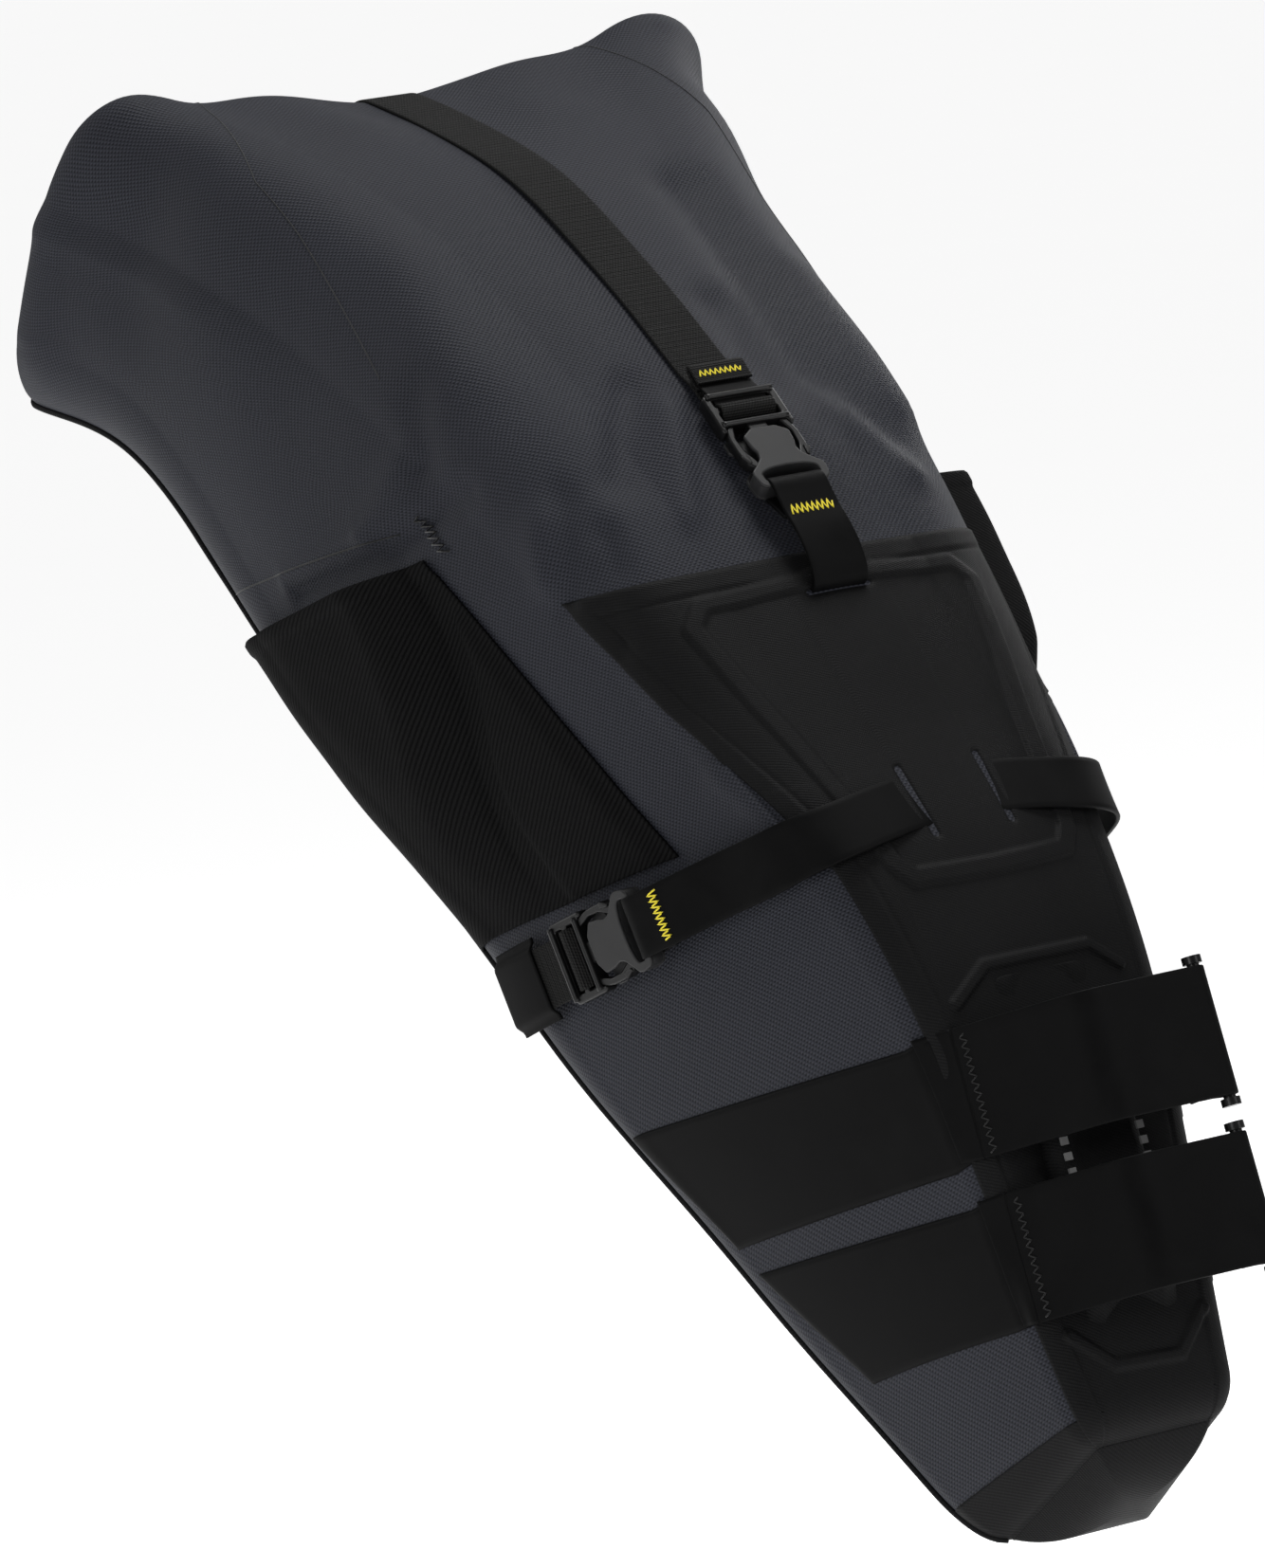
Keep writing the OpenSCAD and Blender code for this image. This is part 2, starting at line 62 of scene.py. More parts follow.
camera = bpy.data.objects.new("camera", bpy.data.cameras.new("camera"))
camera.data.lens = CAMERA_LENS
camera.data.clip_start = 0.05
camera.data.clip_end = 400
camera.matrix_world = (
    Matrix.Translation(CAMERA_AT)
    @ Matrix.Rotation(math.radians(CAMERA_AZIMUTH), 4, "Z")
    @ Matrix.Rotation(math.radians(90 - CAMERA_ELEVATION), 4, "X")
    @ Matrix.Rotation(math.radians(CAMERA_ROLL), 4, "Z"))
bpy.context.scene.collection.objects.link(camera)
bpy.context.scene.camera = camera
bpy.context.scene.view_settings.view_transform = "Standard"


def soft_light(name, place, target, size, power, tone=(1, 1, 1)):
    lamp = bpy.data.lights.new(name, "AREA")
    lamp.shape = "RECTANGLE"
    lamp.size, lamp.size_y = size
    lamp.energy = power
    lamp.color = tone
    holder = bpy.data.objects.new(name, lamp)
    holder.location = place
    aim = Vector(target) - Vector(place)
    holder.rotation_euler = aim.to_track_quat("-Z", "Y").to_euler()
    bpy.context.scene.collection.objects.link(holder)


BAG_MIDDLE = (-0.25, 0, 0.15)
soft_light("overhead", (-0.5, 0.5, 2.2), BAG_MIDDLE, (1.1, 0.8), 34)
soft_light("front_right", (1.2, -2.4, 1.1), BAG_MIDDLE, (0.9, 1.4), 22)
soft_light("front_left", (2.2, 1.4, 1.5), BAG_MIDDLE, (0.7, 1.4), 20)
soft_light("rim", (-2.4, -1.6, 1.4), BAG_MIDDLE, (0.6, 1.6), 16)
soft_light("rim_left", (-1.6, 2.2, 1.4), BAG_MIDDLE, (0.6, 1.6), 16)

world = bpy.data.worlds.new("studio")
bpy.context.scene.world = world
world.use_nodes = True
world.node_tree.nodes["Background"].inputs["Color"].default_value = (1, 1, 1, 1)
world.node_tree.nodes["Background"].inputs["Strength"].default_value = 0.2

# ---------- finishes ----------


class Signal:
    """An output of a finish's nodes that takes part in sums like a number."""

    def __init__(self, finish, socket):
        self.finish = finish
        self.socket = socket

    def _sum(self, operation, *parts):
        values = dict(enumerate(parts))
        return self.finish.node("ShaderNodeMath", {"operation": operation}, values)

    def __add__(self, other):
        return self._sum("ADD", self, other)

    __radd__ = __add__

    def __sub__(self, other):
        return self._sum("SUBTRACT", self, other)

    def __rsub__(self, other):
        return self._sum("SUBTRACT", other, self)

    def __mul__(self, other):
        return self._sum("MULTIPLY", self, other)

    __rmul__ = __mul__

    def sine(self):
        return self._sum("SINE", self)

    def size(self):
        return self._sum("ABSOLUTE", self)

    def whole(self):
        return self._sum("FLOOR", self)


class Finish:
    """A procedural material: nodes feed the surface shader's varying sockets."""

    def __init__(self, name, roughness=0.6, specular=0.4, sheen=0.0):
        self.material = bpy.data.materials.new(name)
        self.material.use_nodes = True
        self.tree = self.material.node_tree
        self.shader = self.tree.nodes["Principled BSDF"]
        self.shader.inputs["Roughness"].default_value = roughness
        self.shader.inputs["Specular IOR Level"].default_value = specular
        self.shader.inputs["Sheen Weight"].default_value = sheen
        self.shader.inputs["Sheen Roughness"].default_value = 0.45

    def node(self, kind, settings=None, values=None, output=0):
        made = self.tree.nodes.new(kind)
        for key, value in (settings or {}).items():
            if key == "stops":
                ramp = made.color_ramp
                for k, (place, level) in enumerate(value):
                    stop = ramp.elements[k] if k < 2 else ramp.elements.new(place)
                    stop.position = place
                    stop.color = (level, level, level, 1)
            else:
                setattr(made, key, value)
        for key, value in (values or {}).items():
            if isinstance(value, Signal):
                self.tree.links.new(value.socket, made.inputs[key])
            else:
                made.inputs[key].default_value = value
        return Signal(self, made.outputs[output])

    def cloth(self):
        """Millimetres across and along the cloth."""
        place = self.node("ShaderNodeUVMap", {"uv_map": "cloth"})
        apart = self.node("ShaderNodeSeparateXYZ", {}, {0: place})
        return apart, Signal(self, apart.socket.node.outputs[1])

    def noise(self, scale, detail=2.0, distortion=0.0):
        """Noise over the object's own space; scale is in waves a metre."""
        place = self.node("ShaderNodeTexCoord", output="Object")
        return self.node("ShaderNodeTexNoise", {}, {
            "Vector": place, "Scale": scale, "Detail": detail, "Distortion": distortion})

    def blend(self, share, low, high):
        return self.node("ShaderNodeMix", {"data_type": "RGBA"}, {
            "Factor": share, 6: (*low, 1), 7: (*high, 1)}, output=2)

    def ramp(self, signal, *stops):
        return self.node("ShaderNodeValToRGB", {"stops": stops}, {0: signal})

    def painted_edge_highlight(self, amount=0.5):
        """Mask for the painted edge highlight: 1 on sharp outer edges, 0 elsewhere."""
        point = self.node("ShaderNodeNewGeometry", output="Pointiness")
        return self.ramp(point, (0.5, 0.0), (0.62, amount))

    def finish(self, colour=None, roughness=None, height=None, depth=0.1):
        """Feeds the shader; depth is the relief of height 1, in millimetres."""
        if colour is not None:
            self.tree.links.new(colour.socket, self.shader.inputs["Base Color"])
        if roughness is not None:
            self.tree.links.new(roughness.socket, self.shader.inputs["Roughness"])
        if height is not None:
            bump = self.node("ShaderNodeBump", {}, {
                "Height": height, "Distance": depth * MM, "Strength": 1.0})
            self.tree.links.new(bump.socket, self.shader.inputs["Normal"])
        return self.material


def ripstop():
    """Navy laminate: rows of fine raised dots 2.3 mm apart, a little mottled."""
    f = Finish("navy_laminate", specular=0.1)
    u, v = f.cloth()
    dot_row, rib_row = 2.3, 1.15
    row = TAU / dot_row
    dots = ((u * row).sine() * (v * row).sine() + 1) * 0.5
    ribs = ((v * (TAU / rib_row)).sine() + 1) * 0.5
    weave = dots * 0.7 + ribs * 0.3
    mottle = f.noise(9, 3)
    fibre = f.noise(1400, 1)
    shade = f.ramp(weave * 0.7 + mottle * 0.2 + fibre * 0.1, (0.2, 0.0), (0.78, 1.0))
    colour = f.blend(shade, (0.0045, 0.0048, 0.0068), (0.036, 0.038, 0.048))
    rough = mottle * 0.16 + weave * 0.1 + 0.44
    return f.finish(colour, rough, weave + fibre * 0.3, 0.3)


def coated_twill():
    """Black coated cloth with a fine diagonal line."""
    f = Finish("black_coated_twill", specular=0.06)
    u, v = f.cloth()
    line = (((u + v * 1.6) * (TAU / 2.1)).sine() + 1) * 0.5
    cross = (((u * 1.3 - v) * (TAU / 1.3)).sine() + 1) * 0.5
    weave = line * 0.65 + cross * 0.35
    mottle = f.noise(16, 3)
    fibre = f.noise(1200, 1)
    shade = f.ramp(weave * 0.4 + mottle * 0.4 + fibre * 0.2, (0.25, 0.0), (0.8, 1.0))
    colour = f.blend(shade, (0.0028, 0.0028, 0.003), (0.0115, 0.0115, 0.0118))
    rough = mottle * 0.2 + weave * 0.1 + 0.42
    return f.finish(colour, rough, weave * 0.8 + fibre * 0.4, 0.14)


def ribbed_stretch():
    """Soft black stretch cloth with slanting ribs."""
    f = Finish("black_rib_stretch", specular=0.04)
    u, v = f.cloth()
    rib = ((u * 0.75 + v) * (TAU / 2.3)).sine()
    rib = f.ramp((rib + 1) * 0.5, (0.1, 0.0), (0.75, 1.0))
    fuzz = f.noise(1500, 2)
    mottle = f.noise(20, 2)
    shade = f.ramp(rib * 0.4 + fuzz * 0.4 + mottle * 0.2, (0.25, 0.0), (0.85, 1.0))
    colour = f.blend(shade, (0.0018, 0.0018, 0.0019), (0.009, 0.009, 0.0092))
    return f.finish(colour, mottle * 0.15 + 0.72, rib * 0.7 + fuzz * 0.6, 0.2)


def smooth_strap():
    """Matt rubber-coated strap with a faint grain."""
    f = Finish("black_coated_strap", specular=0.05)
    grain = f.noise(2200, 2)
    scuff = f.noise(45, 4, 0.6)
    colour = f.blend(f.ramp(scuff * 0.7 + grain * 0.3, (0.35, 0.0), (0.75, 1.0)),
                     (0.0022, 0.0022, 0.0023), (0.0046, 0.0046, 0.0047))
    return f.finish(colour, scuff * 0.18 + grain * 0.08 + 0.42, grain, 0.03)


def woven_webbing():
    """Webbing: ribs across, broken by the warp threads."""
    f = Finish("black_webbing", specular=0.07)
    u, v = f.cloth()
    rib_pitch, warp_pitch = 1.9, 1.3
    thread = TAU / rib_pitch
    weft = (v * thread).sine().size()
    warp = ((u * (TAU / warp_pitch)) + (v * (thread / 2)).whole() * 1.6).sine() * 0.5 + 0.5
    weave = weft * 0.65 + warp * 0.35
    fuzz = f.noise(1800, 2)
    shade = f.ramp(weave * 0.75 + fuzz * 0.25, (0.2, 0.0), (0.85, 1.0))
    colour = f.blend(shade, (0.0008, 0.0008, 0.0009), (0.0165, 0.0165, 0.016))
    return f.finish(colour, 0.72 - weave * 0.2, weave + fuzz * 0.2, 0.3)


def moulded(name, low, high, rough):
    """Moulded nylon: fine spark texture, with a painted highlight that makes its sharp edges
    paler.
    """
    f = Finish(name, specular=0.24)
    spark = f.noise(2600, 2)
    flow = f.noise(60, 2)
    highlit_edges = f.painted_edge_highlight(0.45)
    # Painted highlight: the colour is made paler along sharp edges
    colour = f.blend(f.ramp(flow * 0.5 + spark * 0.2 + highlit_edges * 0.6, (0.2, 0.0), (0.9, 1.0)),
                     low, high)
    return f.finish(colour, flow * 0.14 + rough - highlit_edges * 0.12, spark, 0.025)


def thread_finish(name, low, high):
    f = Finish(name, specular=0.3, sheen=0.2)
    ply = f.noise(2400, 2)
    return f.finish(f.blend(ply, low, high), ply * 0.2 + 0.55, ply, 0.1)


def grip_finish():
    f = Finish("grey_grip_rubber", specular=0.3)
    grain = f.noise(1500, 2)
    dust = f.noise(70, 3)
    return f.finish(f.blend(dust, (0.1, 0.1, 0.1), (0.2, 0.2, 0.2)), grain * 0.1 + 0.6,
                    grain, 0.05)


def sheet_finish():
    f = Finish("grey_stiffener_sheet", specular=0.35)
    grain = f.noise(500, 2)
    scuff = f.noise(30, 4)
    return f.finish(f.blend(scuff, (0.03, 0.03, 0.032), (0.07, 0.07, 0.072)),
                    scuff * 0.2 + 0.4, grain, 0.04)


NAVY = ripstop()
COATED = coated_twill()
STRETCH = ribbed_stretch()
STRAP = smooth_strap()
WEBBING = woven_webbing()
PLATE = moulded("charcoal_nylon", (0.009, 0.009, 0.0093), (0.034, 0.034, 0.035), 0.42)
GLOSS = moulded("black_nylon", (0.0015, 0.0015, 0.0016), (0.0085, 0.0085, 0.0088), 0.27)
YELLOW = thread_finish("yellow_thread", (0.62, 0.5, 0.015), (0.95, 0.82, 0.05))
BLACK_THREAD = thread_finish("black_thread", (0.0006, 0.0006, 0.0006),
                             (0.0025, 0.0025, 0.0025))
GRIP = grip_finish()
SHEET = sheet_finish()

# ---------- the bag's surface ----------

# Cross-sections, nose to tail: front x, z; base x, z; half width at the front, at the
# base; corner radius at the front, at the base; crown of the front; swell of the sides
STATIONS = np.array([
    [13, -104, -62, -158, 35, 42, 12, 12, 0, 0],
    [-3, -60, -137, -88, 41, 68, 14, 20, 1, 2],
    [-19, -6, -190, -34, 47, 86, 16, 24, 1, 3],
    [-37, 50, -243, 16, 54, 102, 20, 28, 2, 4],
    [-68, 104, -291, 66, 62, 114, 26, 32, 4, 5],
    [-112, 154, -340, 114, 73, 123, 36, 36, 5, 6],
    [-158, 205, -388, 161, 84, 131, 46, 40, 7, 6],
    [-228, 276, -442, 214, 98, 138, 58, 44, 8, 6],
    [-345, 360, -495, 268, 114, 142, 60, 44, 8, 4],
    [-470, 408, -542, 292, 138, 140, 32, 32, 0, 0]], float)
TAIL = len(STATIONS) - 1
PANEL_END = 6.2
SEAM = 0.29
BASE_SEAM = 0.72


def section_row(s):
    i = np.clip(np.floor(s).astype(int), 0, TAIL - 1)
    u = (s - i)[..., None]
    a, b = STATIONS[np.maximum(i - 1, 0)], STATIONS[i]
    c, d = STATIONS[i + 1], STATIONS[np.minimum(i + 2, TAIL)]
    return 0.5 * (2 * b + (c - a) * u + (2 * a - 5 * b + 4 * c - d) * u ** 2
                  + (3 * b - a - 3 * c + d) * u ** 3)


def on_bag(s, t, o=0.0):
    """The point at station s and girth t (0 front, 1 base, negative on the right), o out."""
    s, t, o = np.broadcast_arrays(*(np.asarray(x, float) for x in (s, t, o)))
    q = np.moveaxis(section_row(s), -1, 0)
    depth = np.hypot(q[2] - q[0], q[3] - q[1])
    flare = np.arctan2(q[5] - q[4], depth)
    turn_f, turn_b = math.pi / 2 - flare, math.pi / 2 + flare
    in_f, in_b = q[4] - q[6] * np.tan(turn_f / 2), q[5] - q[7] * np.tan(turn_b / 2)
    g = np.where(t > 1, t - 2, np.where(t < -1, t + 2, t))
    k = np.abs(g)
    out_y, out_d = np.cos(flare), -np.sin(flare)
    a1 = -math.pi / 2 + turn_f * (k - 0.2) / 0.15
    a2 = -flare + turn_b * (k - 0.65) / 0.15
    u1, u2, u3 = k / 0.2, (k - 0.35) / 0.3, (1 - k) / 0.2
    swell = 4 * q[9] * u2 * (1 - u2) + o
    zones = [k < 0.2, k < 0.35, k < 0.65, k < 0.8]
    across = np.select(zones, [
        in_f * u1, in_f + (q[6] + o) * np.cos(a1),
        (in_f + q[6] * out_y) * (1 - u2) + (in_b + q[7] * out_y) * u2 + out_y * swell,
        in_b + (q[7] + o) * np.cos(a2)], in_b * u3)
    down = np.select(zones, [
        -q[8] * (1 - u1 ** 2) - o, q[6] + (q[6] + o) * np.sin(a1),
        (q[6] + q[6] * out_d) * (1 - u2) + (depth - q[7] + q[7] * out_d) * u2
        + out_d * swell,
        depth - q[7] + (q[7] + o) * np.sin(a2)], depth + o)
    return np.stack([q[0] + (q[2] - q[0]) / depth * down, np.where(g < 0, -1, 1) * across,
                     q[1] + (q[3] - q[1]) / depth * down], -1)


def unit(v):
    v = np.asarray(v, float)
    return v / np.maximum(np.linalg.norm(v, axis=-1, keepdims=True), 1e-12)


def mix(a, b, u):
    return a + (b - a) * u


def ease(x, low, high):
    u = np.clip((np.asarray(x, float) - low) / (high - low), 0, 1)
    return u * u * (3 - 2 * u)


def segment_distance(p, a, b):
    """Distance of the points p from the segment a to b."""
    along = b - a
    share = np.clip(((p - a) @ along) / max(along @ along, 1e-9), 0, 1)
    return np.linalg.norm(p - a - share[..., None] * along, axis=-1)


def line_distance(p, line):
    return np.minimum.reduce([segment_distance(p, a, b) for a, b in zip(line[:-1], line[1:])])


RIPPLES = np.random.default_rng(11)
WAVES = [(unit(RIPPLES.normal(size=3)), RIPPLES.uniform(0, TAU), RIPPLES.uniform(0.7, 1.4))
         for _ in range(12)]


def ripple(p, length):
    """Smooth uneven waves about -1 to 1, of the length given in millimetres."""
    return sum(np.sin(p @ way * (TAU * rate / length) + start)
               for way, start, rate in WAVES) / 5


# Soft folds and hollows: points [station, girth], width and height in millimetres
FOLDS = [
    ([(8.95, -0.24), (8.85, -0.42), (8.7, -0.62)], 16, 6),
    ([(8.5, -0.3), (8.3, -0.46)], 22, -4),
    ([(8.9, -0.12), (8.5, -0.1)], 22, 4),
    ([(7.75, -0.24), (7.35, -0.27)], 26, 5),
    ([(7.1, -0.13), (6.72, -0.22)], 9, -4.5),
    ([(6.98, -0.1), (6.5, -0.18)], 7, 3),
    ([(7.3, -0.3), (6.95, -0.36)], 8, -3),
    ([(7.12, -0.34), (6.86, -0.46)], 6, 3),
    ([(6.95, -0.36), (6.82, -0.46), (6.78, -0.6)], 6, 3.2),
    ([(6.86, -0.33), (6.72, -0.44), (6.7, -0.6)], 5, -3.2),
    ([(6.6, -0.3), (6.35, -0.33)], 9, 3.4),
    ([(6.48, -0.26), (6.3, -0.27)], 6, -3),
    ([(6.7, -0.27), (6.45, -0.3), (6.2, -0.33)], 6, -2.4),
    ([(6.3, -0.29), (5.9, -0.31)], 7, -2),
    ([(8.95, 0.24), (8.85, 0.42), (8.7, 0.62)], 16, 6),
    ([(8.5, 0.3), (8.3, 0.47)], 22, -4),
    ([(8.9, 0.12), (8.5, 0.1)], 22, 4),
    ([(7.9, 0.2), (7.1, 0.21), (6.7, 0.24)], 15, -5),
    ([(7.5, 0.26), (6.9, 0.28)], 14, 4),
    ([(6.9, 0.2), (6.55, 0.24)], 9, 4),
    ([(7.38, 0.115), (7.05, 0.11)], 12, -4),
    ([(6.95, 0.36), (6.8, 0.5), (6.78, 0.62)], 6, 3),
    ([(6.8, 0.34), (6.7, 0.5), (6.68, 0.62)], 5, -3),
    ([(4.9, -0.33), (4.5, -0.3)], 8, 2.2), ([(4.9, 0.33), (4.5, 0.3)], 8, 2.2),
    ([(8.2, 0.9), (7.6, 1.0), (7.2, 1.1)], 18, -6),
    ([(7.9, 1.15), (7.2, 1.08)], 12, 4),
    ([(7.0, 0.86), (6.4, 1.0)], 14, -4),
]
FOLD_LINES = [(on_bag(*np.array(line).T), width, height) for line, width, height in FOLDS]
EAR = 17.0
STRAP_DIP = 6.0
TAIL_PUFF = 13.0
RIM_START = 8.8
RIM_ROUND = 19.0
NOSE_START = 0.38
NOSE_ROUND = 13.5
WRAP = 0.97


def rim_drop(k, wrap):
    """How far the cloth draws in as it turns over the tail's rim."""
    return mix(RIM_ROUND, 7, ease(k, 0.26, 0.42)) * (1 - np.sqrt(1 - wrap ** 2))


def slack(s, t, p):
    """How far the cloth stands off the smooth surface, in millimetres."""
    k = np.abs(np.where(t > 1, t - 2, t))
    soft = ease(s, 5.6, 7.2)
    o = ripple(p, 190) * 2.2 * soft + ripple(p, 70) * 0.8 * (0.25 + soft * 0.75)
    ear = ease(s, 7.7, 8.95) * np.exp(-((k - 0.27) / 0.09) ** 2)
    dip = ease(s, 6.9, 8.8) * np.exp(-(p[..., 1] / 34) ** 2) * (k < 0.5)
    puff = ease(s, 7.3, 8.8) * ease(k, 0.3, 0.42) * (1 - ease(k, 0.7, 0.82))
    o = o + EAR * ear * np.where(t > 0, 1.3, 1) - STRAP_DIP * dip + TAIL_PUFF * puff
    for line, width, height in FOLD_LINES:
        o = o + height * np.exp(-(line_distance(p, line) / width) ** 2)
    calm = 1 - 0.93 * (1 - ease(s, 4.6, 6.6)) * ease(k, 0.1, 0.2) * (k < SEAM + 0.02)
    wrap = np.clip((s - RIM_START) / (TAIL - RIM_START), 0, WRAP)
    nose = np.clip((NOSE_START - s) / NOSE_START, 0, WRAP)
    o = o * calm * ease(s, 0, 0.4) - rim_drop(k, wrap)
    return o - NOSE_ROUND * (1 - np.sqrt(1 - nose ** 2))


def cloth_at(s, t, o=0.0):
    """The real cloth's surface, with its slack."""
    s, t = np.broadcast_arrays(np.asarray(s, float), np.asarray(t, float))
    return on_bag(s, t, slack(s, t, on_bag(s, t)) + o)


# ---------- mesh pieces ----------


def grid_faces(n, m, around=False):
    i, j = np.meshgrid(np.arange(n - 1), np.arange(m if around else m - 1), indexing="ij")
    a, b = i * m + j, i * m + (j + 1) % m
    return np.stack([a, b, b + m, a + m], -1).reshape(-1, 4)


def piece(name, points, faces, finish, slot, body="bag", nodes=(), cloth=None):
    """Makes a mesh piece from points in millimetres, and ties it to its body."""
    mesh = bpy.data.meshes.new(name)
    mesh.from_pydata((np.asarray(points, float).reshape(-1, 3) * MM).tolist(), [],
                     [tuple(map(int, f)) for f in faces])
    mesh.validate()
    mesh.polygons.foreach_set("use_smooth", [True] * len(mesh.polygons))
    if cloth is not None:
        corner = np.zeros(len(mesh.loops), int)
        mesh.loops.foreach_get("vertex_index", corner)
        layer = mesh.uv_layers.new(name="cloth")
        layer.data.foreach_set("uv", np.asarray(cloth, float).reshape(-1, 2)[corner].ravel())
    mesh.materials.append(finish)
    made = bpy.data.objects.new(name, mesh)
    bpy.context.scene.collection.objects.link(made)
    if body:
        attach(made, body)
    if nodes:
        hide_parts(*nodes)
    return made


def cloth_lengths(grid):
    """Lengths across and along a grid of points, in millimetres, for the weave."""
    across = np.cumsum(np.linalg.norm(np.diff(grid, axis=1, prepend=grid[:, :1]), axis=-1), 1)
    along = np.cumsum(np.linalg.norm(np.diff(grid, axis=0, prepend=grid[:1]), axis=-1), 0)
    across = across - across[:, [grid.shape[1] // 2]]
    return np.stack([across, along], -1).reshape(-1, 2)


def slab(name, outer, inner, finish, slot, **ties):
    """A closed sheet between two grids of points; outer is the side that shows."""
    n, m = outer.shape[:2]
    size = n * m
    top = grid_faces(n, m)
    edge = [*range(m), *range(2 * m - 1, size, m), *range(size - 2, size - m - 1, -1),
            *range(size - 2 * m, 0, -m)]
    rim = [(b, a, a + size, b + size) for a, b in zip(edge, edge[1:] + edge[:1])]
    faces = [*top, *(top[:, ::-1] + size), *rim]
    middle = np.cross(outer[n // 2, m // 2] - outer[n // 2 - 1, m // 2],
                      outer[n // 2, m // 2] - outer[n // 2, m // 2 - 1])
    if middle @ (outer[n // 2, m // 2] - inner[n // 2, m // 2]) > 0:
        faces = [f[::-1] for f in faces]
    both = np.tile(cloth_lengths(outer), (2, 1))
    return piece(name, np.concatenate([outer.reshape(-1, 3), inner.reshape(-1, 3)]), faces,
                 finish, slot, cloth=both, **ties)


RIB_PITCH = 1.45


class Strip:
    """A strap or webbing along a path, with the direction across it at each point."""

    def __init__(self, path, across, width, thick, step=1.2):
        path, across = np.asarray(path, float), unit(across)
        run = np.concatenate([[0], np.cumsum(np.linalg.norm(np.diff(path, axis=0), axis=1))])
        self.length = run[-1]
        self.run = np.linspace(0, self.length, max(int(self.length / step), 4) + 1)
        self.path = np.stack([np.interp(self.run, run, path[:, k]) for k in range(3)], 1)
        if np.ndim(across) == 1:
            across = np.tile(across, (len(path), 1))
        self.across = unit(np.stack([np.interp(self.run, run, across[:, k])
                                     for k in range(3)], 1))
        for _ in range(3):
            self.path[1:-1] = (self.path[:-2] + 2 * self.path[1:-1] + self.path[2:]) / 4
        self.up = unit(np.cross(unit(np.gradient(self.path, axis=0)), self.across))
        self.width, self.thick = width, thick

    def at(self, run, y, z):
        """A point run along, y across and z above the strip's middle."""
        run = np.asarray(run, float)
        place, across, up = (np.stack([np.interp(run, self.run, a[:, k]) for k in range(3)],
                                      -1) for a in (self.path, self.across, self.up))
        return place + across * np.asarray(y)[..., None] + up * np.asarray(z)[..., None]

    def make(self, name, finish, slot, edge=0.5, ribs=0.0, **ties):
        """The closed strip: a rounded section swept along the path."""
        half, t = self.width / 2, self.thick / 2
        turn = np.linspace(-90, 90, 7)
        side = [(half - edge + edge * math.cos(math.radians(a)), t * math.sin(math.radians(a)))
                for a in turn]
        flat = [(x, t) for x in np.linspace(half - edge, -half + edge, 12)[1:-1]]
        section = side + flat + [(-x, -z) for x, z in side] + [(-x, -z) for x, z in flat]
        y, z = np.array(section).T
        run = self.run[:, None]
        z = z[None] * (1 + ribs * np.sin(run * TAU / RIB_PITCH))
        points = self.at(run + 0 * y, y[None] + 0 * run, z)
        n, m = points.shape[:2]
        faces = [*grid_faces(n, m, True)[:, ::-1], tuple(range(m)),
                 tuple(range(n * m - 1, n * m - m - 1, -1))]
        cloth = np.stack([y[None] + 0 * run, run + 0 * y[None]], -1)
        return piece(name, points, faces, finish, slot, cloth=cloth, **ties)


def tube(points, radius, sides=6):
    """Points and faces of a closed tube along a line."""
    line = np.asarray(points, float)
    way = unit(np.gradient(line, axis=0))
    aside = unit(np.cross(way, unit([0.31, 0.52, 0.79])))
    over = np.cross(way, aside)
    turn = np.arange(sides) * TAU / sides
    ring = (line[:, None] + radius * (aside[:, None] * np.cos(turn)[:, None]
                                      + over[:, None] * np.sin(turn)[:, None]))
    n = len(line)
    faces = [*map(tuple, grid_faces(n, sides, True)), tuple(range(sides))[::-1],
             tuple(range((n - 1) * sides, n * sides))]
    return ring.reshape(-1, 3), faces


def join(parts):
    points, faces = [], []
    for p, f in parts:
        base = sum(map(len, points))
        points.append(np.asarray(p))
        faces += [tuple(int(k) + base for k in face) for face in f]
    return np.concatenate(points), faces


def zigzag(strip, run, half, height, depth=4.4, pitch=2.3, radius=0.36, lift=0.15):
    """Points and faces of a bartack sewn across a strip."""
    count = int(2 * half / pitch * 2)
    corners = [(run + depth * (0.5 if k % 2 else -0.5), -half + k * pitch / 2)
               for k in range(count + 1)]
    fine = []
    for (r0, y0), (r1, y1) in zip(corners[:-1], corners[1:]):
        for u in np.linspace(0, 1, 5)[:-1]:
            arch = lift + 0.35 * math.sin(math.pi * u)
            fine.append(strip.at(mix(r0, r1, u), mix(y0, y1, u), height + arch))
    return tube(fine, radius)


def sew(name, parts, finish, slot, body="bag"):
    points, faces = join(parts)
    return piece(name, points, faces, finish, slot, body=body)


# ---------- the shell ----------


def spans(*stops):
    """Evenly spaced values through the stops: (value, steps to the next), ..., last."""
    out = []
    for (a, n), b in zip(stops[:-1], [x[0] if isinstance(x, tuple) else x for x in stops[1:]]):
        out += list(np.linspace(a, b, n, endpoint=False))
    return np.array(out + [stops[-1]])


SHELL_RUN = spans((0, 16), (NOSE_START, 60), (4, 100), (RIM_START, 24), 8.994)
SHELL_GIRTH = spans((-1, 36), (-0.75, 90), (-0.36, 130), (0.36, 90), (0.75, 36), 1)
SKIN = 1.3


def skin(name, run, girth, finish, slot, lift=0.0, thick=SKIN, **ties):
    s, t = np.meshgrid(run, girth, indexing="ij")
    return slab(name, cloth_at(s, t, lift), cloth_at(s, t, lift - thick), finish, slot, **ties)


skin("shell_cloth", SHELL_RUN, SHELL_GIRTH, NAVY, "navy_fabric",
     nodes=["top_panel", "side_panel_right", "side_panel_left", "base_panel"])
skin("nose_band", spans((0, 20), 0.27), SHELL_GIRTH, COATED, "coated_fabric", lift=0.55,
     thick=0.9)

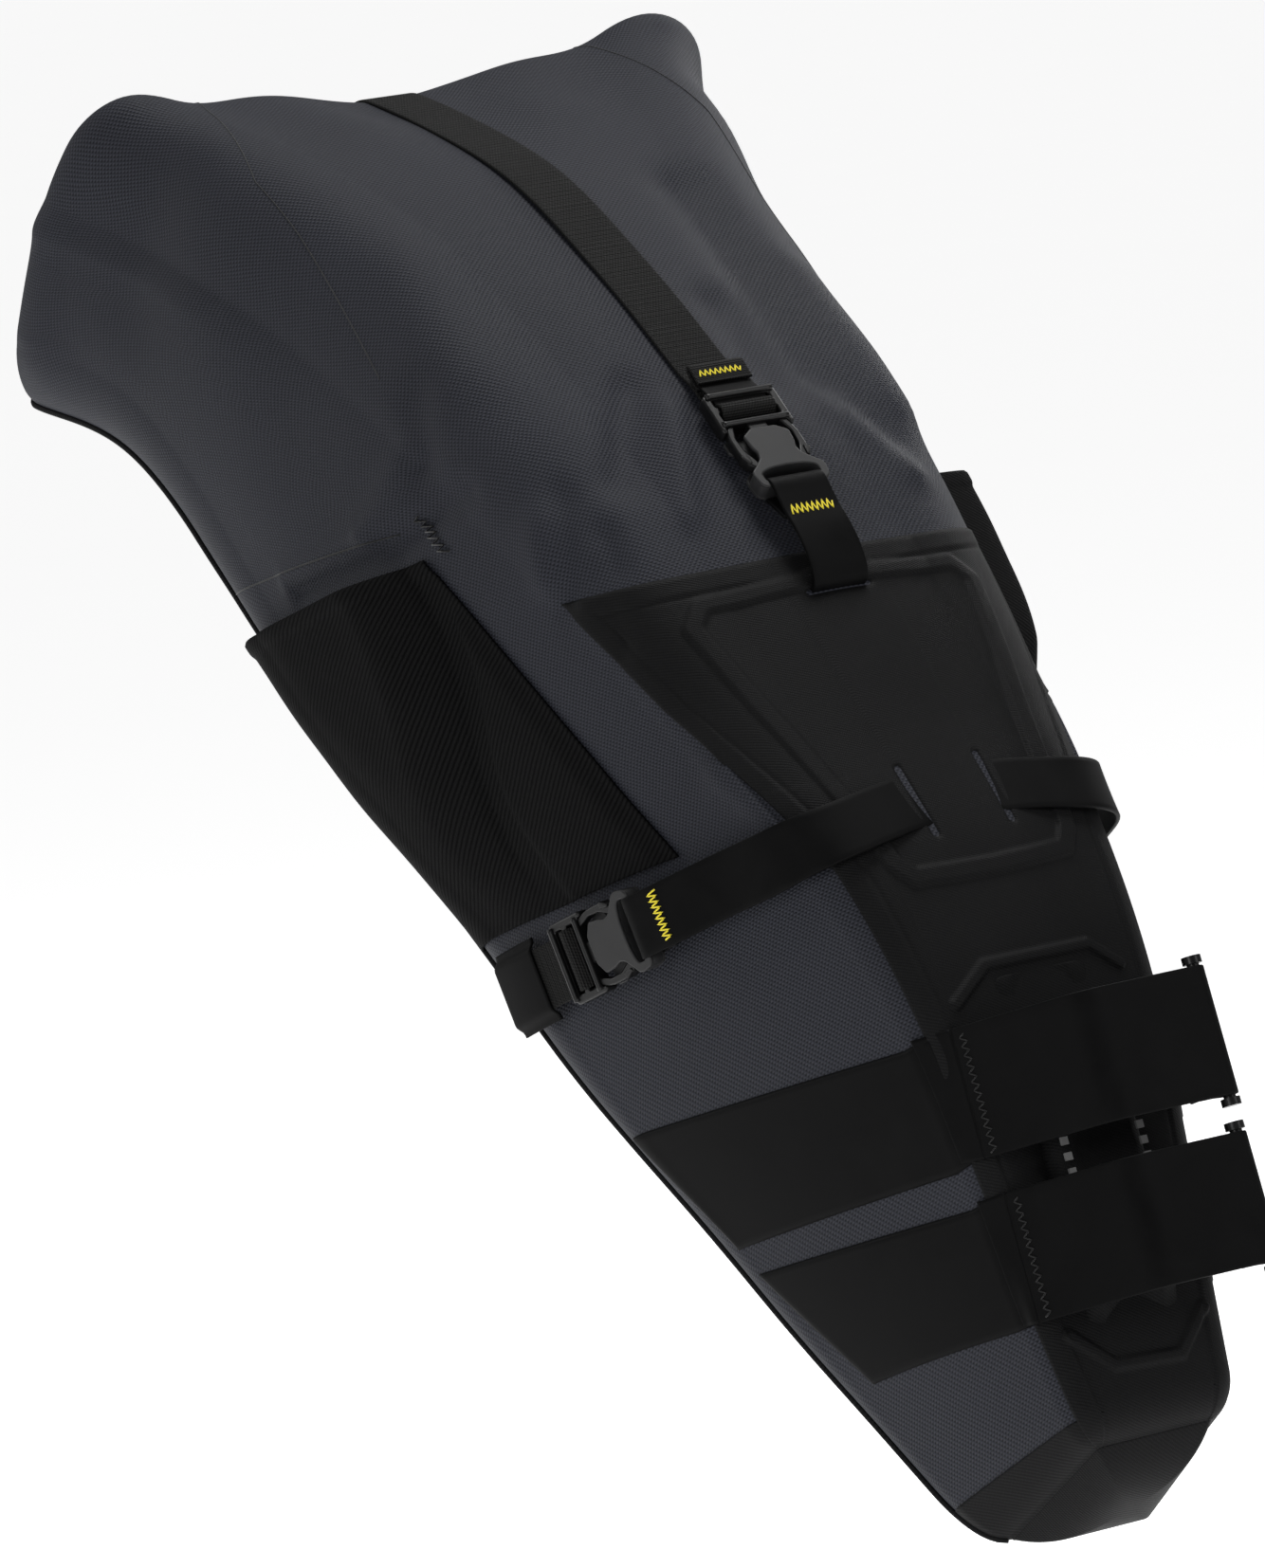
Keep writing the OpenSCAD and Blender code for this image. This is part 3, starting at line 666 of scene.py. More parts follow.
# The saddle panel, with its welded border, raised frame and ridges
FRAME_CORNERS = [(3.97, -0.165), (3.95, 0), (3.97, 0.165), (4.1, 0.19), (5.35, 0.232),
                 (5.9, 0.244), (6.02, 0.225), (6.06, 0), (6.02, -0.225), (5.9, -0.244),
                 (5.35, -0.232), (4.1, -0.19), (3.97, -0.165)]
CREST = [(3.12, -0.2), (3.33, -0.11), (3.33, 0.13), (3.16, 0.19)]
NOSE_RIDGE = [(0.86, -0.21), (0.59, -0.11), (0.56, 0.11), (0.84, 0.21)]
EDGE_STATIONS = [0, 1, 2, 3, 4.1, 4.7, 5.4, 6.2]
EDGE_GIRTHS = [0.292, 0.292, 0.298, 0.288, 0.282, 0.3, 0.328, 0.34]
CENTRE_SLOT = 5.98
PANEL_SLITS = [on_bag(CENTRE_SLOT, 0) + np.array([[0, -13.5, 0], [0, 13.5, 0]]),
               *(on_bag(np.linspace(4.22, 4.7, 6), side * 0.082) for side in (-1, 1))]


def panel_edge(s):
    return np.interp(s, EDGE_STATIONS, EDGE_GIRTHS)


def surface_line(corners, steps=8):
    line = np.array(corners)
    u = np.linspace(0, len(line) - 1, (len(line) - 1) * steps + 1)
    s, t = (np.interp(u, range(len(line)), line[:, k]) for k in (0, 1))
    return on_bag(s, t)


def ridge_relief(d, half, height):
    """A flat-topped rounded ridge of the half width and height given."""
    return height * (1 - ease(d, half - 0.9, half + 0.9))


def panel_lift(s, t, p):
    """How far the panel stands off the cloth: frame, ridges, border and slots."""
    frame_gap = line_distance(p, surface_line(FRAME_CORNERS))
    o = 0.8 + ridge_relief(frame_gap, 3.7, 1.5)
    for corners in (CREST, NOSE_RIDGE):
        o = o + ridge_relief(line_distance(p, surface_line(corners)), 2.2, 1.6)
    border = [on_bag(s, side * panel_edge(s)) for side in (-1, 1)]
    gap = np.minimum(*(np.linalg.norm(p - b, axis=-1) for b in border))
    gap = np.minimum(gap, np.linalg.norm(p - on_bag(PANEL_END, t), axis=-1))
    o = o - 0.4 * np.exp(-((gap - 10.4) / 0.9) ** 2) + 0.45 * (1 - ease(gap, 8.6, 10.2))
    for slit in PANEL_SLITS:
        o = o - 2.2 * np.exp(-(line_distance(p, slit) / 1.3) ** 2)
    return o * ease(gap, -0.6, 1.2)


panel_s, panel_t = np.meshgrid(spans((0, 420), PANEL_END), spans((-1, 210), 1),
                               indexing="ij")
panel_t = panel_t * panel_edge(panel_s)
panel_base = on_bag(panel_s, panel_t)
panel_out = slack(panel_s, panel_t, panel_base)
slab("saddle_panel_cloth", on_bag(panel_s, panel_t,
                                  panel_out + panel_lift(panel_s, panel_t, panel_base)),
     on_bag(panel_s, panel_t, panel_out - 1.0), COATED, "coated_fabric",
     nodes=["saddle_panel", "saddle_frame", "crest_ridge", "nose_ridge"])


def section_cap(name, station, rings, height, inset, finish, slot, dent=None, **ties):
    """A domed end: rings of the section's outline drawn in to its middle."""
    t = np.linspace(-1, 1, 181)[:-1]
    rim = on_bag(station, t, inset(t))
    middle = rim.mean(0)
    way = unit(np.cross(on_bag(station, 0.5) - on_bag(station, 0),
                        on_bag(station, 0.5) - on_bag(station, -0.5)))
    ahead = middle - on_bag(4.5, 0.5 * np.array([-1, 1])).mean(0)
    way = way if way @ ahead > 0 else -way
    share = 1 - np.linspace(0, 1, rings + 1)[:-1] ** 1.25
    grid = middle + (rim - middle)[None] * share[:, None, None]
    rise = height * (1 - share[:, None] ** 3) + 0 * t
    if dent:
        rise = rise + dent(grid) * (1 - share[:, None] ** 4)
    outer = grid + way * rise[..., None]
    inner = outer - way * 1.4
    n, m = outer.shape[:2]
    size = n * m + 1
    faces = [*grid_faces(n, m, True)]
    faces += [((n - 1) * m + k, (n - 1) * m + (k + 1) % m, n * m) for k in range(m)]
    under = [tuple(int(k) + size for k in f[::-1]) for f in faces]
    rim_faces = [((k + 1) % m, k, k + size, (k + 1) % m + size) for k in range(m)]
    tips = [outer[-1].mean(0), inner[-1].mean(0)]
    points = np.concatenate([outer.reshape(-1, 3), tips[:1], inner.reshape(-1, 3), tips[1:]])
    faces = [tuple(map(int, f)) for f in faces] + under + rim_faces
    a, b, c = (points[k] for k in faces[0][:3])
    if np.cross(b - a, c - a) @ way < 0:
        faces = [f[::-1] for f in faces]
    side = unit([0, 1, 0])
    flat = np.stack([points @ side, points @ np.cross(way, side)], -1)
    return piece(name, points, faces, finish, slot, cloth=flat, **ties)


section_cap("nose_end", 0, 24, 13, lambda t: 0.3 - NOSE_ROUND * (1 - math.sqrt(1 - WRAP ** 2)),
            COATED, "coated_fabric", nodes=["nose_cap"])

# ---------- rolled closure ----------

tail = STATIONS[-1]
TAIL_TOP = np.array([tail[0], 0, tail[1]])
TAIL_DOWN = unit([tail[2] - tail[0], 0, tail[3] - tail[1]])
TAIL_BACK = np.array([TAIL_DOWN[2], 0, -TAIL_DOWN[0]])
TAIL_DEPTH = math.hypot(tail[2] - tail[0], tail[3] - tail[1])
ROLL_H, ROLL_D, ROLL_LEN = 34, 24, 264
ROLL_TOP = TAIL_DEPTH - ROLL_H - 2


def in_tail(down, across, back):
    down, across, back = np.broadcast_arrays(*(np.asarray(x, float)
                                               for x in (down, across, back)))
    return (TAIL_TOP + down[..., None] * TAIL_DOWN + across[..., None] * [0, 1, 0]
            + back[..., None] * TAIL_BACK)


def flap_dent(p):
    """Soft gathers that run down the flap into the roll."""
    down = (p - TAIL_TOP) @ TAIL_DOWN
    y = p[..., 1]
    gather = np.sin(y / 11 + 1.5 * np.sin(y / 37)) * ease(down, 25, 80) * 1.3
    return gather + ripple(p, 80) * 1.4 - 5 * np.exp(-(y / 26) ** 2) * (1 - ease(down, 30, 90))


RIM_AT = TAIL - 0.01
closure_cloth = section_cap(
    "closure_cloth", RIM_AT, 40, 11,
    lambda t: slack(np.full_like(t, RIM_AT), t, on_bag(RIM_AT, t)) - 0.4, NAVY,
    "navy_fabric", dent=flap_dent, body=None, nodes=["closure_flap"])

# A stretch of the flap, in millimetres below its top edge; its two end points are worked out
# here
BEND = (19, 44)
HINGE_START, HINGE_END = (tuple(in_tail(d, 0, 0) * MM) for d in BEND)
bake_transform(closure_cloth)


def roll_mesh():
    """The mouth rolled up three turns: a flattened spiral drawn across the bag."""
    turns, steps = 2.7, 150
    a = np.linspace(0, turns * TAU, steps)
    r = ROLL_D / 2 - 0.9 - 2.6 * a / TAU
    stretch = (ROLL_H - ROLL_D) / 2
    down = ROLL_TOP + ROLL_H / 2 - r * np.cos(a) - stretch * np.sign(np.cos(a)) \
        * np.minimum(1, np.abs(np.cos(a)) * 2.2)
    back = 1.9 + ROLL_D / 2 - r * np.sin(a)
    across = np.linspace(-ROLL_LEN / 2, ROLL_LEN / 2, 110)
    d, y = np.meshgrid(np.arange(steps), across, indexing="ij")
    loose = ripple(in_tail(down[d], y, back[d]), 60) * 0.7
    pinch = 1 - 0.1 * np.exp(-((np.abs(y) - 60) / 40) ** 2)
    centre_down, centre_back = ROLL_TOP + ROLL_H / 2, 1.9 + ROLL_D / 2
    outer = in_tail(centre_down + (down[d] - centre_down) * pinch, y,
                    centre_back + (back[d] - centre_back) * (pinch + loose * 0.03))
    way = np.stack([np.gradient(back), -np.gradient(down)], -1)
    way = way / np.linalg.norm(way, axis=-1, keepdims=True)
    shift = way[:, None, :1] * TAIL_DOWN + way[:, None, 1:] * TAIL_BACK
    return outer, outer - np.broadcast_to(shift, outer.shape) * 0.9


roll_outer, roll_inner = roll_mesh()
slab("closure_roll_cloth", roll_outer, roll_inner, NAVY, "navy_fabric", body="closure",
     nodes=["closure_roll"])

# ---------- buckles ----------

WEB_W, WEB_T, STRAP_T = 25.0, 1.4, 1.8
BUCKLE_T, SOCKET_LEN, LOCK_LEN = 8.0, 31.0, 21.0
LIFT = WEB_T + 0.3


def frame_to(place, x_way, z_way, flip=False):
    """A local frame: origin and x, y, z directions; flip mirrors it left to right."""
    x = unit(x_way)
    y = unit(np.cross(z_way, x))
    axes = [np.array(place, float), x, y, np.cross(x, y)]
    return [a * [1, -1, 1] for a in axes] if flip else axes


RAIL_FROM, RAIL_TO = on_bag(3.76, -0.64, 7.5), on_bag(4.06, -0.455, 7.5)
RAIL_WAY = unit(RAIL_TO - RAIL_FROM)
RAIL_MOUTH = mix(RAIL_FROM, RAIL_TO, 0.5) + RAIL_WAY * 6


def facing(s, t, e=0.02):
    return unit(np.cross(on_bag(s + e, t) - on_bag(s - e, t),
                         on_bag(s, t + e) - on_bag(s, t - e)))


RAIL_OUT = facing(3.9, -0.52)
RAIL_OUT = RAIL_OUT if RAIL_OUT[1] < 0 else -RAIL_OUT
CENTRE_FROM, CENTRE_TO = on_bag(7.06, 0, 1.6), on_bag(6.4, 0, 2.4)
CENTRE_WAY = unit(CENTRE_TO - CENTRE_FROM)
CENTRE_OUT = np.array([-CENTRE_WAY[2], 0, CENTRE_WAY[0]])
CLOSURE_AT = in_tail(ROLL_TOP + ROLL_H / 2, 2, 2.2 + ROLL_D)
FRAMES = {
    "rail_right": frame_to(RAIL_MOUTH, RAIL_WAY, RAIL_OUT),
    "rail_left": frame_to(RAIL_MOUTH, RAIL_WAY, RAIL_OUT, True),
    "centre": frame_to(mix(CENTRE_FROM, CENTRE_TO, 0.47), CENTRE_WAY, CENTRE_OUT),
    "closure": frame_to(CLOSURE_AT, [0, 1, 0], TAIL_BACK),
}


def local(place, points):
    """Points in a buckle's frame, as points of the bag."""
    points = np.asarray(points, float)
    return place[0] + points @ np.array(place[1:])


def plate(outlines, low, high, edge=0.6):
    """Points and faces of a plate with holes and rounded edges; outlines in millimetres."""
    curve = bpy.data.curves.new("plate", "CURVE")
    curve.dimensions = "2D"
    curve.fill_mode = "BOTH"
    curve.extrude = (high - low) / 2 - edge
    curve.bevel_depth = edge
    curve.bevel_resolution = 2
    curve.offset = -edge
    for outline in outlines:
        spline = curve.splines.new("POLY")
        spline.points.add(len(outline) - 1)
        for point, (x, y) in zip(spline.points, outline):
            point.co = (x, y, 0, 1)
        spline.use_cyclic_u = True
    holder = bpy.data.objects.new("plate", curve)
    mesh = bpy.data.meshes.new_from_object(holder)
    points = np.array([v.co for v in mesh.vertices]) + [0, 0, (low + high) / 2]
    faces = [tuple(f.vertices) for f in mesh.polygons]
    bpy.data.objects.remove(holder)
    bpy.data.curves.remove(curve)
    bpy.data.meshes.remove(mesh)
    return points, faces


def both_sides(half):
    """A closed outline from its points at y above zero, mirrored in y."""
    return [*half, *[(x, -y) for x, y in half[::-1]]]


def rounded(outline, radius=1.2, steps=4):
    """The outline with its corners rounded off."""
    made = []
    n = len(outline)
    for k in range(n):
        a, b, c = (np.array(outline[j % n], float) for j in (k - 1, k, k + 1))
        r = min(radius, np.linalg.norm(a - b) * 0.45, np.linalg.norm(c - b) * 0.45)
        p, q = b + unit(a - b) * r, b + unit(c - b) * r
        for u in np.linspace(0, 1, steps + 1):
            made.append(tuple((1 - u) ** 2 * p + 2 * u * (1 - u) * b + u * u * q))
    return made


def oval(x, y, half_x, half_y, power=2.6, steps=40):
    a = np.linspace(0, TAU, steps, endpoint=False)
    return [(x + half_x * math.copysign(abs(math.cos(t)) ** (2 / power), math.cos(t)),
             y + half_y * math.copysign(abs(math.sin(t)) ** (2 / power), math.sin(t)))
            for t in a]


HEAD = rounded(both_sides([(0.3, 5.6), (3.8, 10.4), (9.6, 9.9), (13.2, 8.8), (16.2, 9.6),
                           (19.6, 13.0), (22, 15.9), (24.5, 16.5), (29.5, 15.6),
                           (31, 13.6)]), 0.9)
HEAD_SLOT = [(x - 1.5 * (1 - (y / 12.6) ** 2) * (x < 25), y)
             for x, y in oval(25.8, 0, 3.0, 12.6, 4)]
FLOOR_PLATE = rounded(both_sides([(0.2, 15.6), (6, 15.8), (9, 10.2), (15.5, 10.2),
                                  (20, 15.6), (24.5, 16.3), (29.5, 15.4), (31, 13.4)]), 1.2)
ARM = rounded([(-3.7, 10.4), (3, 12.7), (10, 12.2), (15.6, 9.6), (18.6, 9.9), (19.2, 11.4),
               (16.8, 14.1), (11, 15.5), (4, 15.5), (-1, 14.6), (-3.7, 13.4)], 1.0)


def ring_wall(low, high):
    """The socket's flared end: full depth, with the strap's slot through it."""
    outline = rounded(both_sides([(20.5, 13.2), (22.3, 15.6), (24.5, 16.4), (29.5, 15.5),
                                  (31, 13.5)]), 1.2)
    return plate([outline, HEAD_SLOT], low, high, 1.0)


def socket_mesh():
    top = LIFT + BUCKLE_T
    walls = [plate([rounded([(x0, y0), (x1, y0), (x1, y1), (x0, y1)], 0.6)],
                   LIFT + 0.6, top - 0.6, 0.3)
             for x0, y0, x1, y1 in ((1.0, 5.1, 7.5, 6.3), (1.0, -6.3, 7.5, -5.1))]
    return join([plate([HEAD, HEAD_SLOT], top - 1.7, top, 0.65),
                 plate([FLOOR_PLATE, HEAD_SLOT], LIFT, LIFT + 1.5, 0.5),
                 ring_wall(LIFT + 0.7, top - 0.8), *walls])


def lock_mesh():
    low, high = LIFT + 0.8, LIFT + BUCKLE_T - 1.2
    outer = rounded([(-LOCK_LEN, -15.2), (-LOCK_LEN, 15.2), (-LOCK_LEN + 1.5, 16.5),
                     (-2, 16.5), (-0.7, 15.6), (-0.7, 14.4), (-3.4, 13.9), (-3.4, -13.9),
                     (-0.7, -14.4), (-0.7, -15.6), (-2, -16.5), (-LOCK_LEN + 1.5, -16.5)], 1)
    slots = [rounded([(a, -12.9), (b, -12.9), (b, 12.9), (a, 12.9)], 0.9)
             for a, b in ((-18.2, -14.0), (-10.6, -6.4))]
    tongue = rounded(both_sides([(-4.5, 4.4), (16.5, 4.0), (18, 2.6)]), 0.8)
    bars = [tube([[x, y, z] for y in np.linspace(-15, 15, 21)], 1.35, 12)
            for x, z in ((-19.7, high + 0.1), (-4.7, high - 0.3))]
    return join([plate([outer, *slots], low, high, 0.9),
                 plate([tongue], LIFT + 1.9, LIFT + 6.1, 0.6), *bars])


def prong_mesh(side):
    pad = rounded([(11.5, 13.0), (16.4, 12.4), (17.2, 13.6), (12.5, 15.9)], 0.6)
    points, faces = join([plate([ARM], LIFT + 2.0, LIFT + 6.2, 0.7),
                          plate([pad], LIFT + 1.5, LIFT + 6.8, 0.5)])
    if side < 0:
        return points * [1, -1, 1], [f[::-1] for f in faces]
    return points, faces


BODIES = {"rail_right": ("bag", "rail_right_tongue", "rail_socket_right", "rail_lock_right"),
          "rail_left": ("bag", "rail_left_tongue", "rail_socket_left", "rail_lock_left"),
          "centre": ("bag", "centre_tongue", "centre_socket", "centre_lock"),
          "closure": ("closure", "closure_tongue", "closure_socket", "closure_lock")}


def placed(name, mesh, place, finish, **ties):
    """Makes a buckle's piece in the buckle's own frame."""
    points, faces = mesh
    if np.linalg.det(np.array(place[1:])) < 0:
        faces = [f[::-1] for f in faces]
    piece(name, local(place, points), faces, finish, "moulded_plastic", **ties)


SOCKET, LOCK = socket_mesh(), lock_mesh()
PRONG = {"a": prong_mesh(1), "b": prong_mesh(-1)}
for where, (holder, tongue, socket_node, lock_node) in BODIES.items():
    place = FRAMES[where]
    placed(f"{where}_buckle_socket", SOCKET, place, PLATE, body=holder, nodes=[socket_node])
    placed(f"{where}_buckle_lock", LOCK, place, GLOSS, body=tongue, nodes=[lock_node])
    for letter, mesh in PRONG.items():
        node = f"{where}_prong_{letter}"
        placed(f"{where}_buckle_prong_{letter}", mesh, place, GLOSS, body=node, nodes=[node])

# ---------- rail straps and their webbing ----------

SOCKET_BAR = (29.4, LIFT + BUCKLE_T / 2)


def loop_over_bar(start_x=SOCKET_LEN + 13):
    """The strap's end in a buckle's frame: over the socket's bar, down and back under."""
    bar_x, bar_z = SOCKET_BAR
    over = [(start_x, bar_z + 1.9), (SOCKET_LEN + 5, bar_z + 3.4), (bar_x + 1, bar_z + 4.6)]
    round_bar = [(bar_x - 2.2 - 1.0 * math.sin(a), bar_z + 4.0 * math.cos(a))
                 for a in np.radians([25, 60, 90, 120, 150])]
    under = [(bar_x + 1, bar_z - 4.3), (SOCKET_LEN + 5, bar_z - 2.2),
             (start_x, bar_z - 0.2)]
    return [(x, 0, z) for x, z in over + round_bar + under]


def bezier(points, u):
    n = len(points) - 1
    return sum(math.comb(n, k) * (1 - u) ** (n - k) * u ** k * np.asarray(p)
               for k, p in enumerate(points))


RAIL_ARCH = 2
FACE = 1 if facing(3.9, -0.52)[1] < 0 else -1


def rail_path(k):
    """The rail strap from its slot, 0, to the socket's bar, 1: station, girth, point."""
    s, t = 4.46 - 0.08 * k - 0.35 * k * k, -0.082 - 0.393 * k
    return s, t, on_bag(s, t, 10.5 * k ** 0.9 + RAIL_ARCH * np.sin(math.pi * k) - 1.2)


def rail_strap(flip):
    """The strap from its slot to the socket, eased where the run meets the loop."""
    place = FRAMES["rail_right"]
    n = 70
    k = np.linspace(0, 0.87, n)
    s, t, path = rail_path(k)
    way = unit(np.gradient(path, axis=0))
    across = unit(np.cross([FACE * facing(a, b) for a, b in zip(s, t)], way))
    loop = local(place, loop_over_bar())
    path = np.concatenate([path, loop])
    across = np.concatenate([across, np.tile(-place[2], (len(loop), 1))])
    for _ in range(25):
        for line in (path, across):
            line[1:n] = (line[:n - 1] + 2 * line[1:n] + line[2:n + 1]) / 4
    if flip:
        path, across = path * [1, -1, 1], across * [-1, 1, -1]
    return Strip(path, across, WEB_W - 0.4, STRAP_T)


def reach(strip, point):
    """Length along a strip to the place nearest a point, from its start."""
    return strip.run[np.argmin(np.linalg.norm(strip.path - point, axis=1))]


def ladder_webbing(reach_back):
    """Webbing in a buckle's frame: under the end bar, over the middle bar and back."""
    top = LIFT + BUCKLE_T - 0.9
    return [(-reach_back, 0, 0.9), (-34, 0, 0.9), (-27, 0, 1.4), (-22, 0, 1.9),
            (-18.5, 0, 2.4), (-16.6, 0, 4.4), (-15.2, 0, top - 0.8), (-13.6, 0, top + 0.7),
            (-12.2, 0, top + 1.1), (-10.8, 0, top + 0.7), (-9.4, 0, top - 0.9),
            (-8.2, 0, 4.8), (-7.6, 0, 3.4), (-8.6, 0, 2.3), (-11, 0, 2.0), (-14, 0, 1.9)]


for label, flip in (("right", False), ("left", True)):
    where = f"rail_{label}"
    place = FRAMES[where]
    strap = rail_strap(flip)
    strap.make(f"rail_strap_cloth_{label}", STRAP, "strap_fabric",
               nodes=[f"rail_strap_{label}"])
    bar = local(place, [[SOCKET_LEN + 12, 0, SOCKET_BAR[1] + 2.6]])[0]
    outward = 1 if (strap.at(reach(strap, bar), 0, 1) - strap.at(reach(strap, bar), 0, 0)) \
        @ place[3] > 0 else -1
    sew(f"rail_bartack_{label}",
        [zigzag(strap, reach(strap, bar), 10, outward * (STRAP_T / 2 + 0.05),
                lift=outward * 0.15)], YELLOW, "webbing")
    path = local(place, ladder_webbing(58))
    web = Strip(path, np.tile(place[2], (len(path), 1)), WEB_W - 0.6, WEB_T, step=0.36)
    made = web.make(f"rail_web_{label}", WEBBING, "webbing", ribs=0.16, body=None,
                    nodes=[f"rail_webbing_{label}"])
    tuple(local(place, [[-44, 0, 1]])[0] * MM)
    tuple(local(place, [[-25, 0, 1]])[0] * MM)
    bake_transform(made)

    # The sleeve that ties the webbing to the base edge
    sleeve_s = np.linspace(-71, -43, 24)
    sleeve_y = np.linspace(-WEB_W / 2 - 4.5, WEB_W / 2 + 4.5, 30)
    x, y = np.meshgrid(sleeve_s, sleeve_y, indexing="ij")
    hump = 3.0 * (1 - ease(np.abs(y), WEB_W / 2 - 1, WEB_W / 2 + 3.2))
    sag = -0.004 * (x + 43) ** 2
    outer = local(place, np.stack([x, y, hump - 0.1 + sag], -1))
    inner = local(place, np.stack([x, y, hump - 1.2 + sag], -1))
    slab(f"webbing_sleeve_cloth_{label}", outer, inner, STRAP, "strap_fabric",
         nodes=[f"webbing_sleeve_{label}"])

# ---------- centre strap and compression webbing ----------

WEB_SPLIT = 8.1
place = FRAMES["centre"]
start = cloth_at(CENTRE_SLOT, 0, -1.5)
loop = local(place, loop_over_bar())
rise = unit(on_bag(CENTRE_SLOT, 0, 5) - on_bag(CENTRE_SLOT, 0))
arch = [bezier([start, start + rise * 8, mix(start, loop[0], 0.5) + rise * 9, loop[0]], u)
        for u in np.linspace(0, 1, 40)]
centre_path = np.array(arch[:-1] + list(loop))
centre = Strip(centre_path, np.tile([0, 1, 0], (len(centre_path), 1)), WEB_W - 0.4, STRAP_T)
centre.make("centre_strap_cloth", STRAP, "strap_fabric", nodes=["centre_strap"])
bar = local(place, [[SOCKET_LEN + 12, 0, SOCKET_BAR[1] + 2.6]])[0]
outward = 1 if (centre.at(reach(centre, bar), 0, 1) - centre.at(reach(centre, bar), 0, 0)) \
    @ place[3] > 0 else -1
sew("centre_bartack", [zigzag(centre, reach(centre, bar), 10, outward * (STRAP_T / 2 + 0.05),
                              lift=outward * 0.15)], YELLOW, "webbing")

over_bag = cloth_at(np.linspace(8.93, WEB_SPLIT, 40), 0, 1.3)
flap_line = [in_tail(d, 0, b) for d, b in ((ROLL_TOP - 2, 7.5), (ROLL_TOP - 14, 8.6),
                                           (ROLL_TOP - 40, 9.6), (ROLL_TOP - 62, 8.2),
                                           (20, 4.6), (13, 1.4))]
web_path = np.concatenate([flap_line, over_bag])
compression = Strip(web_path, np.tile([0, 1, 0], (len(web_path), 1)), WEB_W - 0.6, WEB_T,
                    step=0.5)
made = compression.make("compression_web", WEBBING, "webbing", ribs=0.14, body=None,
                        nodes=["centre_webbing", "closure_webbing"])
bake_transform(made)
near_lock = cloth_at(np.linspace(WEB_SPLIT, 7.12, 30), 0, 1.3)
web_path = np.concatenate([near_lock, local(place, ladder_webbing(40)[1:])])
web_end = Strip(web_path, np.tile([0, 1, 0], (len(web_path), 1)), WEB_W - 0.6, WEB_T,
                step=0.5)
made = web_end.make("compression_web_end", WEBBING, "webbing", ribs=0.14, body=None,
                    nodes=["centre_webbing"])
tuple(local(place, [[-26, 0, 1]])[0] * MM)
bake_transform(made)

tab_path = local(place, [(-15.2, 0, 6.9), (-18.5, 0, 7.4), (-22, 0, 6.6), (-27, 0, 5.0),
                         (-33, 0, 4.2), (-37.5, 0, 4.6)])
tab = Strip(tab_path, np.tile([0, 1, 0], (6, 1)), WEB_W - 1.2, 1.2)
tab.make("centre_pull_tab", STRAP, "strap_fabric", body="centre_tongue")
fold_path = local(place, [(-29, 0, 6.2), (-33, 0, 6.3), (-37.6, 0, 6.7), (-39.2, 0, 5.9),
                          (-38, 0, 4.6), (-33, 0, 3.2), (-29, 0, 3.4)])
fold = Strip(fold_path, np.tile([0, 1, 0], (7, 1)), WEB_W, WEB_T, step=0.36)
fold.make("centre_tab_fold", WEBBING, "webbing", ribs=0.14, body="centre_tongue",
          nodes=["centre_tab"])
outward = 1 if (fold.at(5, 0, 1) - fold.at(5, 0, 0)) @ place[3] > 0 else -1
sew("centre_tab_bartack", [zigzag(fold, 4.6, 10, outward * (WEB_T / 2 + 0.1), depth=2.8,
                                  lift=outward * 0.15)],
    YELLOW, "webbing", body="centre_tongue")

# ---------- closure straps ----------

place = FRAMES["closure"]
tail_path = local(place, [(-ROLL_LEN / 2 - 1, 0, -8), (-ROLL_LEN / 2 - 1.5, 0, -2),
                          (-ROLL_LEN / 2 + 3, 0, 0.9), (-60, 0, 0.9),
                          *ladder_webbing(60)[1:]])
closure_web = Strip(tail_path, np.tile(place[2], (len(tail_path), 1)), WEB_W - 0.6, WEB_T,
                    step=0.5)
made = closure_web.make("closure_web_right", WEBBING, "webbing", ribs=0.14, body=None,
                        nodes=["closure_strap_right"])
tuple(local(place, [[-70, 0, 1]])[0] * MM)
tuple(local(place, [[-26, 0, 1]])[0] * MM)
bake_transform(made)
loop = loop_over_bar(SOCKET_LEN + 15)
tail_path = local(place, [*loop[::-1], (SOCKET_LEN + 30, 0, 1.2),
                          (ROLL_LEN / 2 - 4, 0, 0.9), (ROLL_LEN / 2 + 1.5, 0, -2),
                          (ROLL_LEN / 2 + 1, 0, -8)])
closure_web = Strip(tail_path, np.tile(place[2], (len(tail_path), 1)), WEB_W - 0.6, WEB_T,
                    step=0.5)
closure_web.make("closure_web_left", WEBBING, "webbing", ribs=0.14, body="closure",
                 nodes=["closure_strap_left"])

# ---------- seatpost pad, straps, hook tabs and patches ------

POST_LEAN = math.radians(17)
POST_F = np.array([math.cos(POST_LEAN), 0, math.sin(POST_LEAN)])
POST_U = np.array([-math.sin(POST_LEAN), 0, math.cos(POST_LEAN)])


def by_post(f, y, u):
    f, y, u = np.broadcast_arrays(*(np.asarray(x, float) for x in (f, y, u)))
    return f[..., None] * POST_F + y[..., None] * [0, 1, 0] + u[..., None] * POST_U


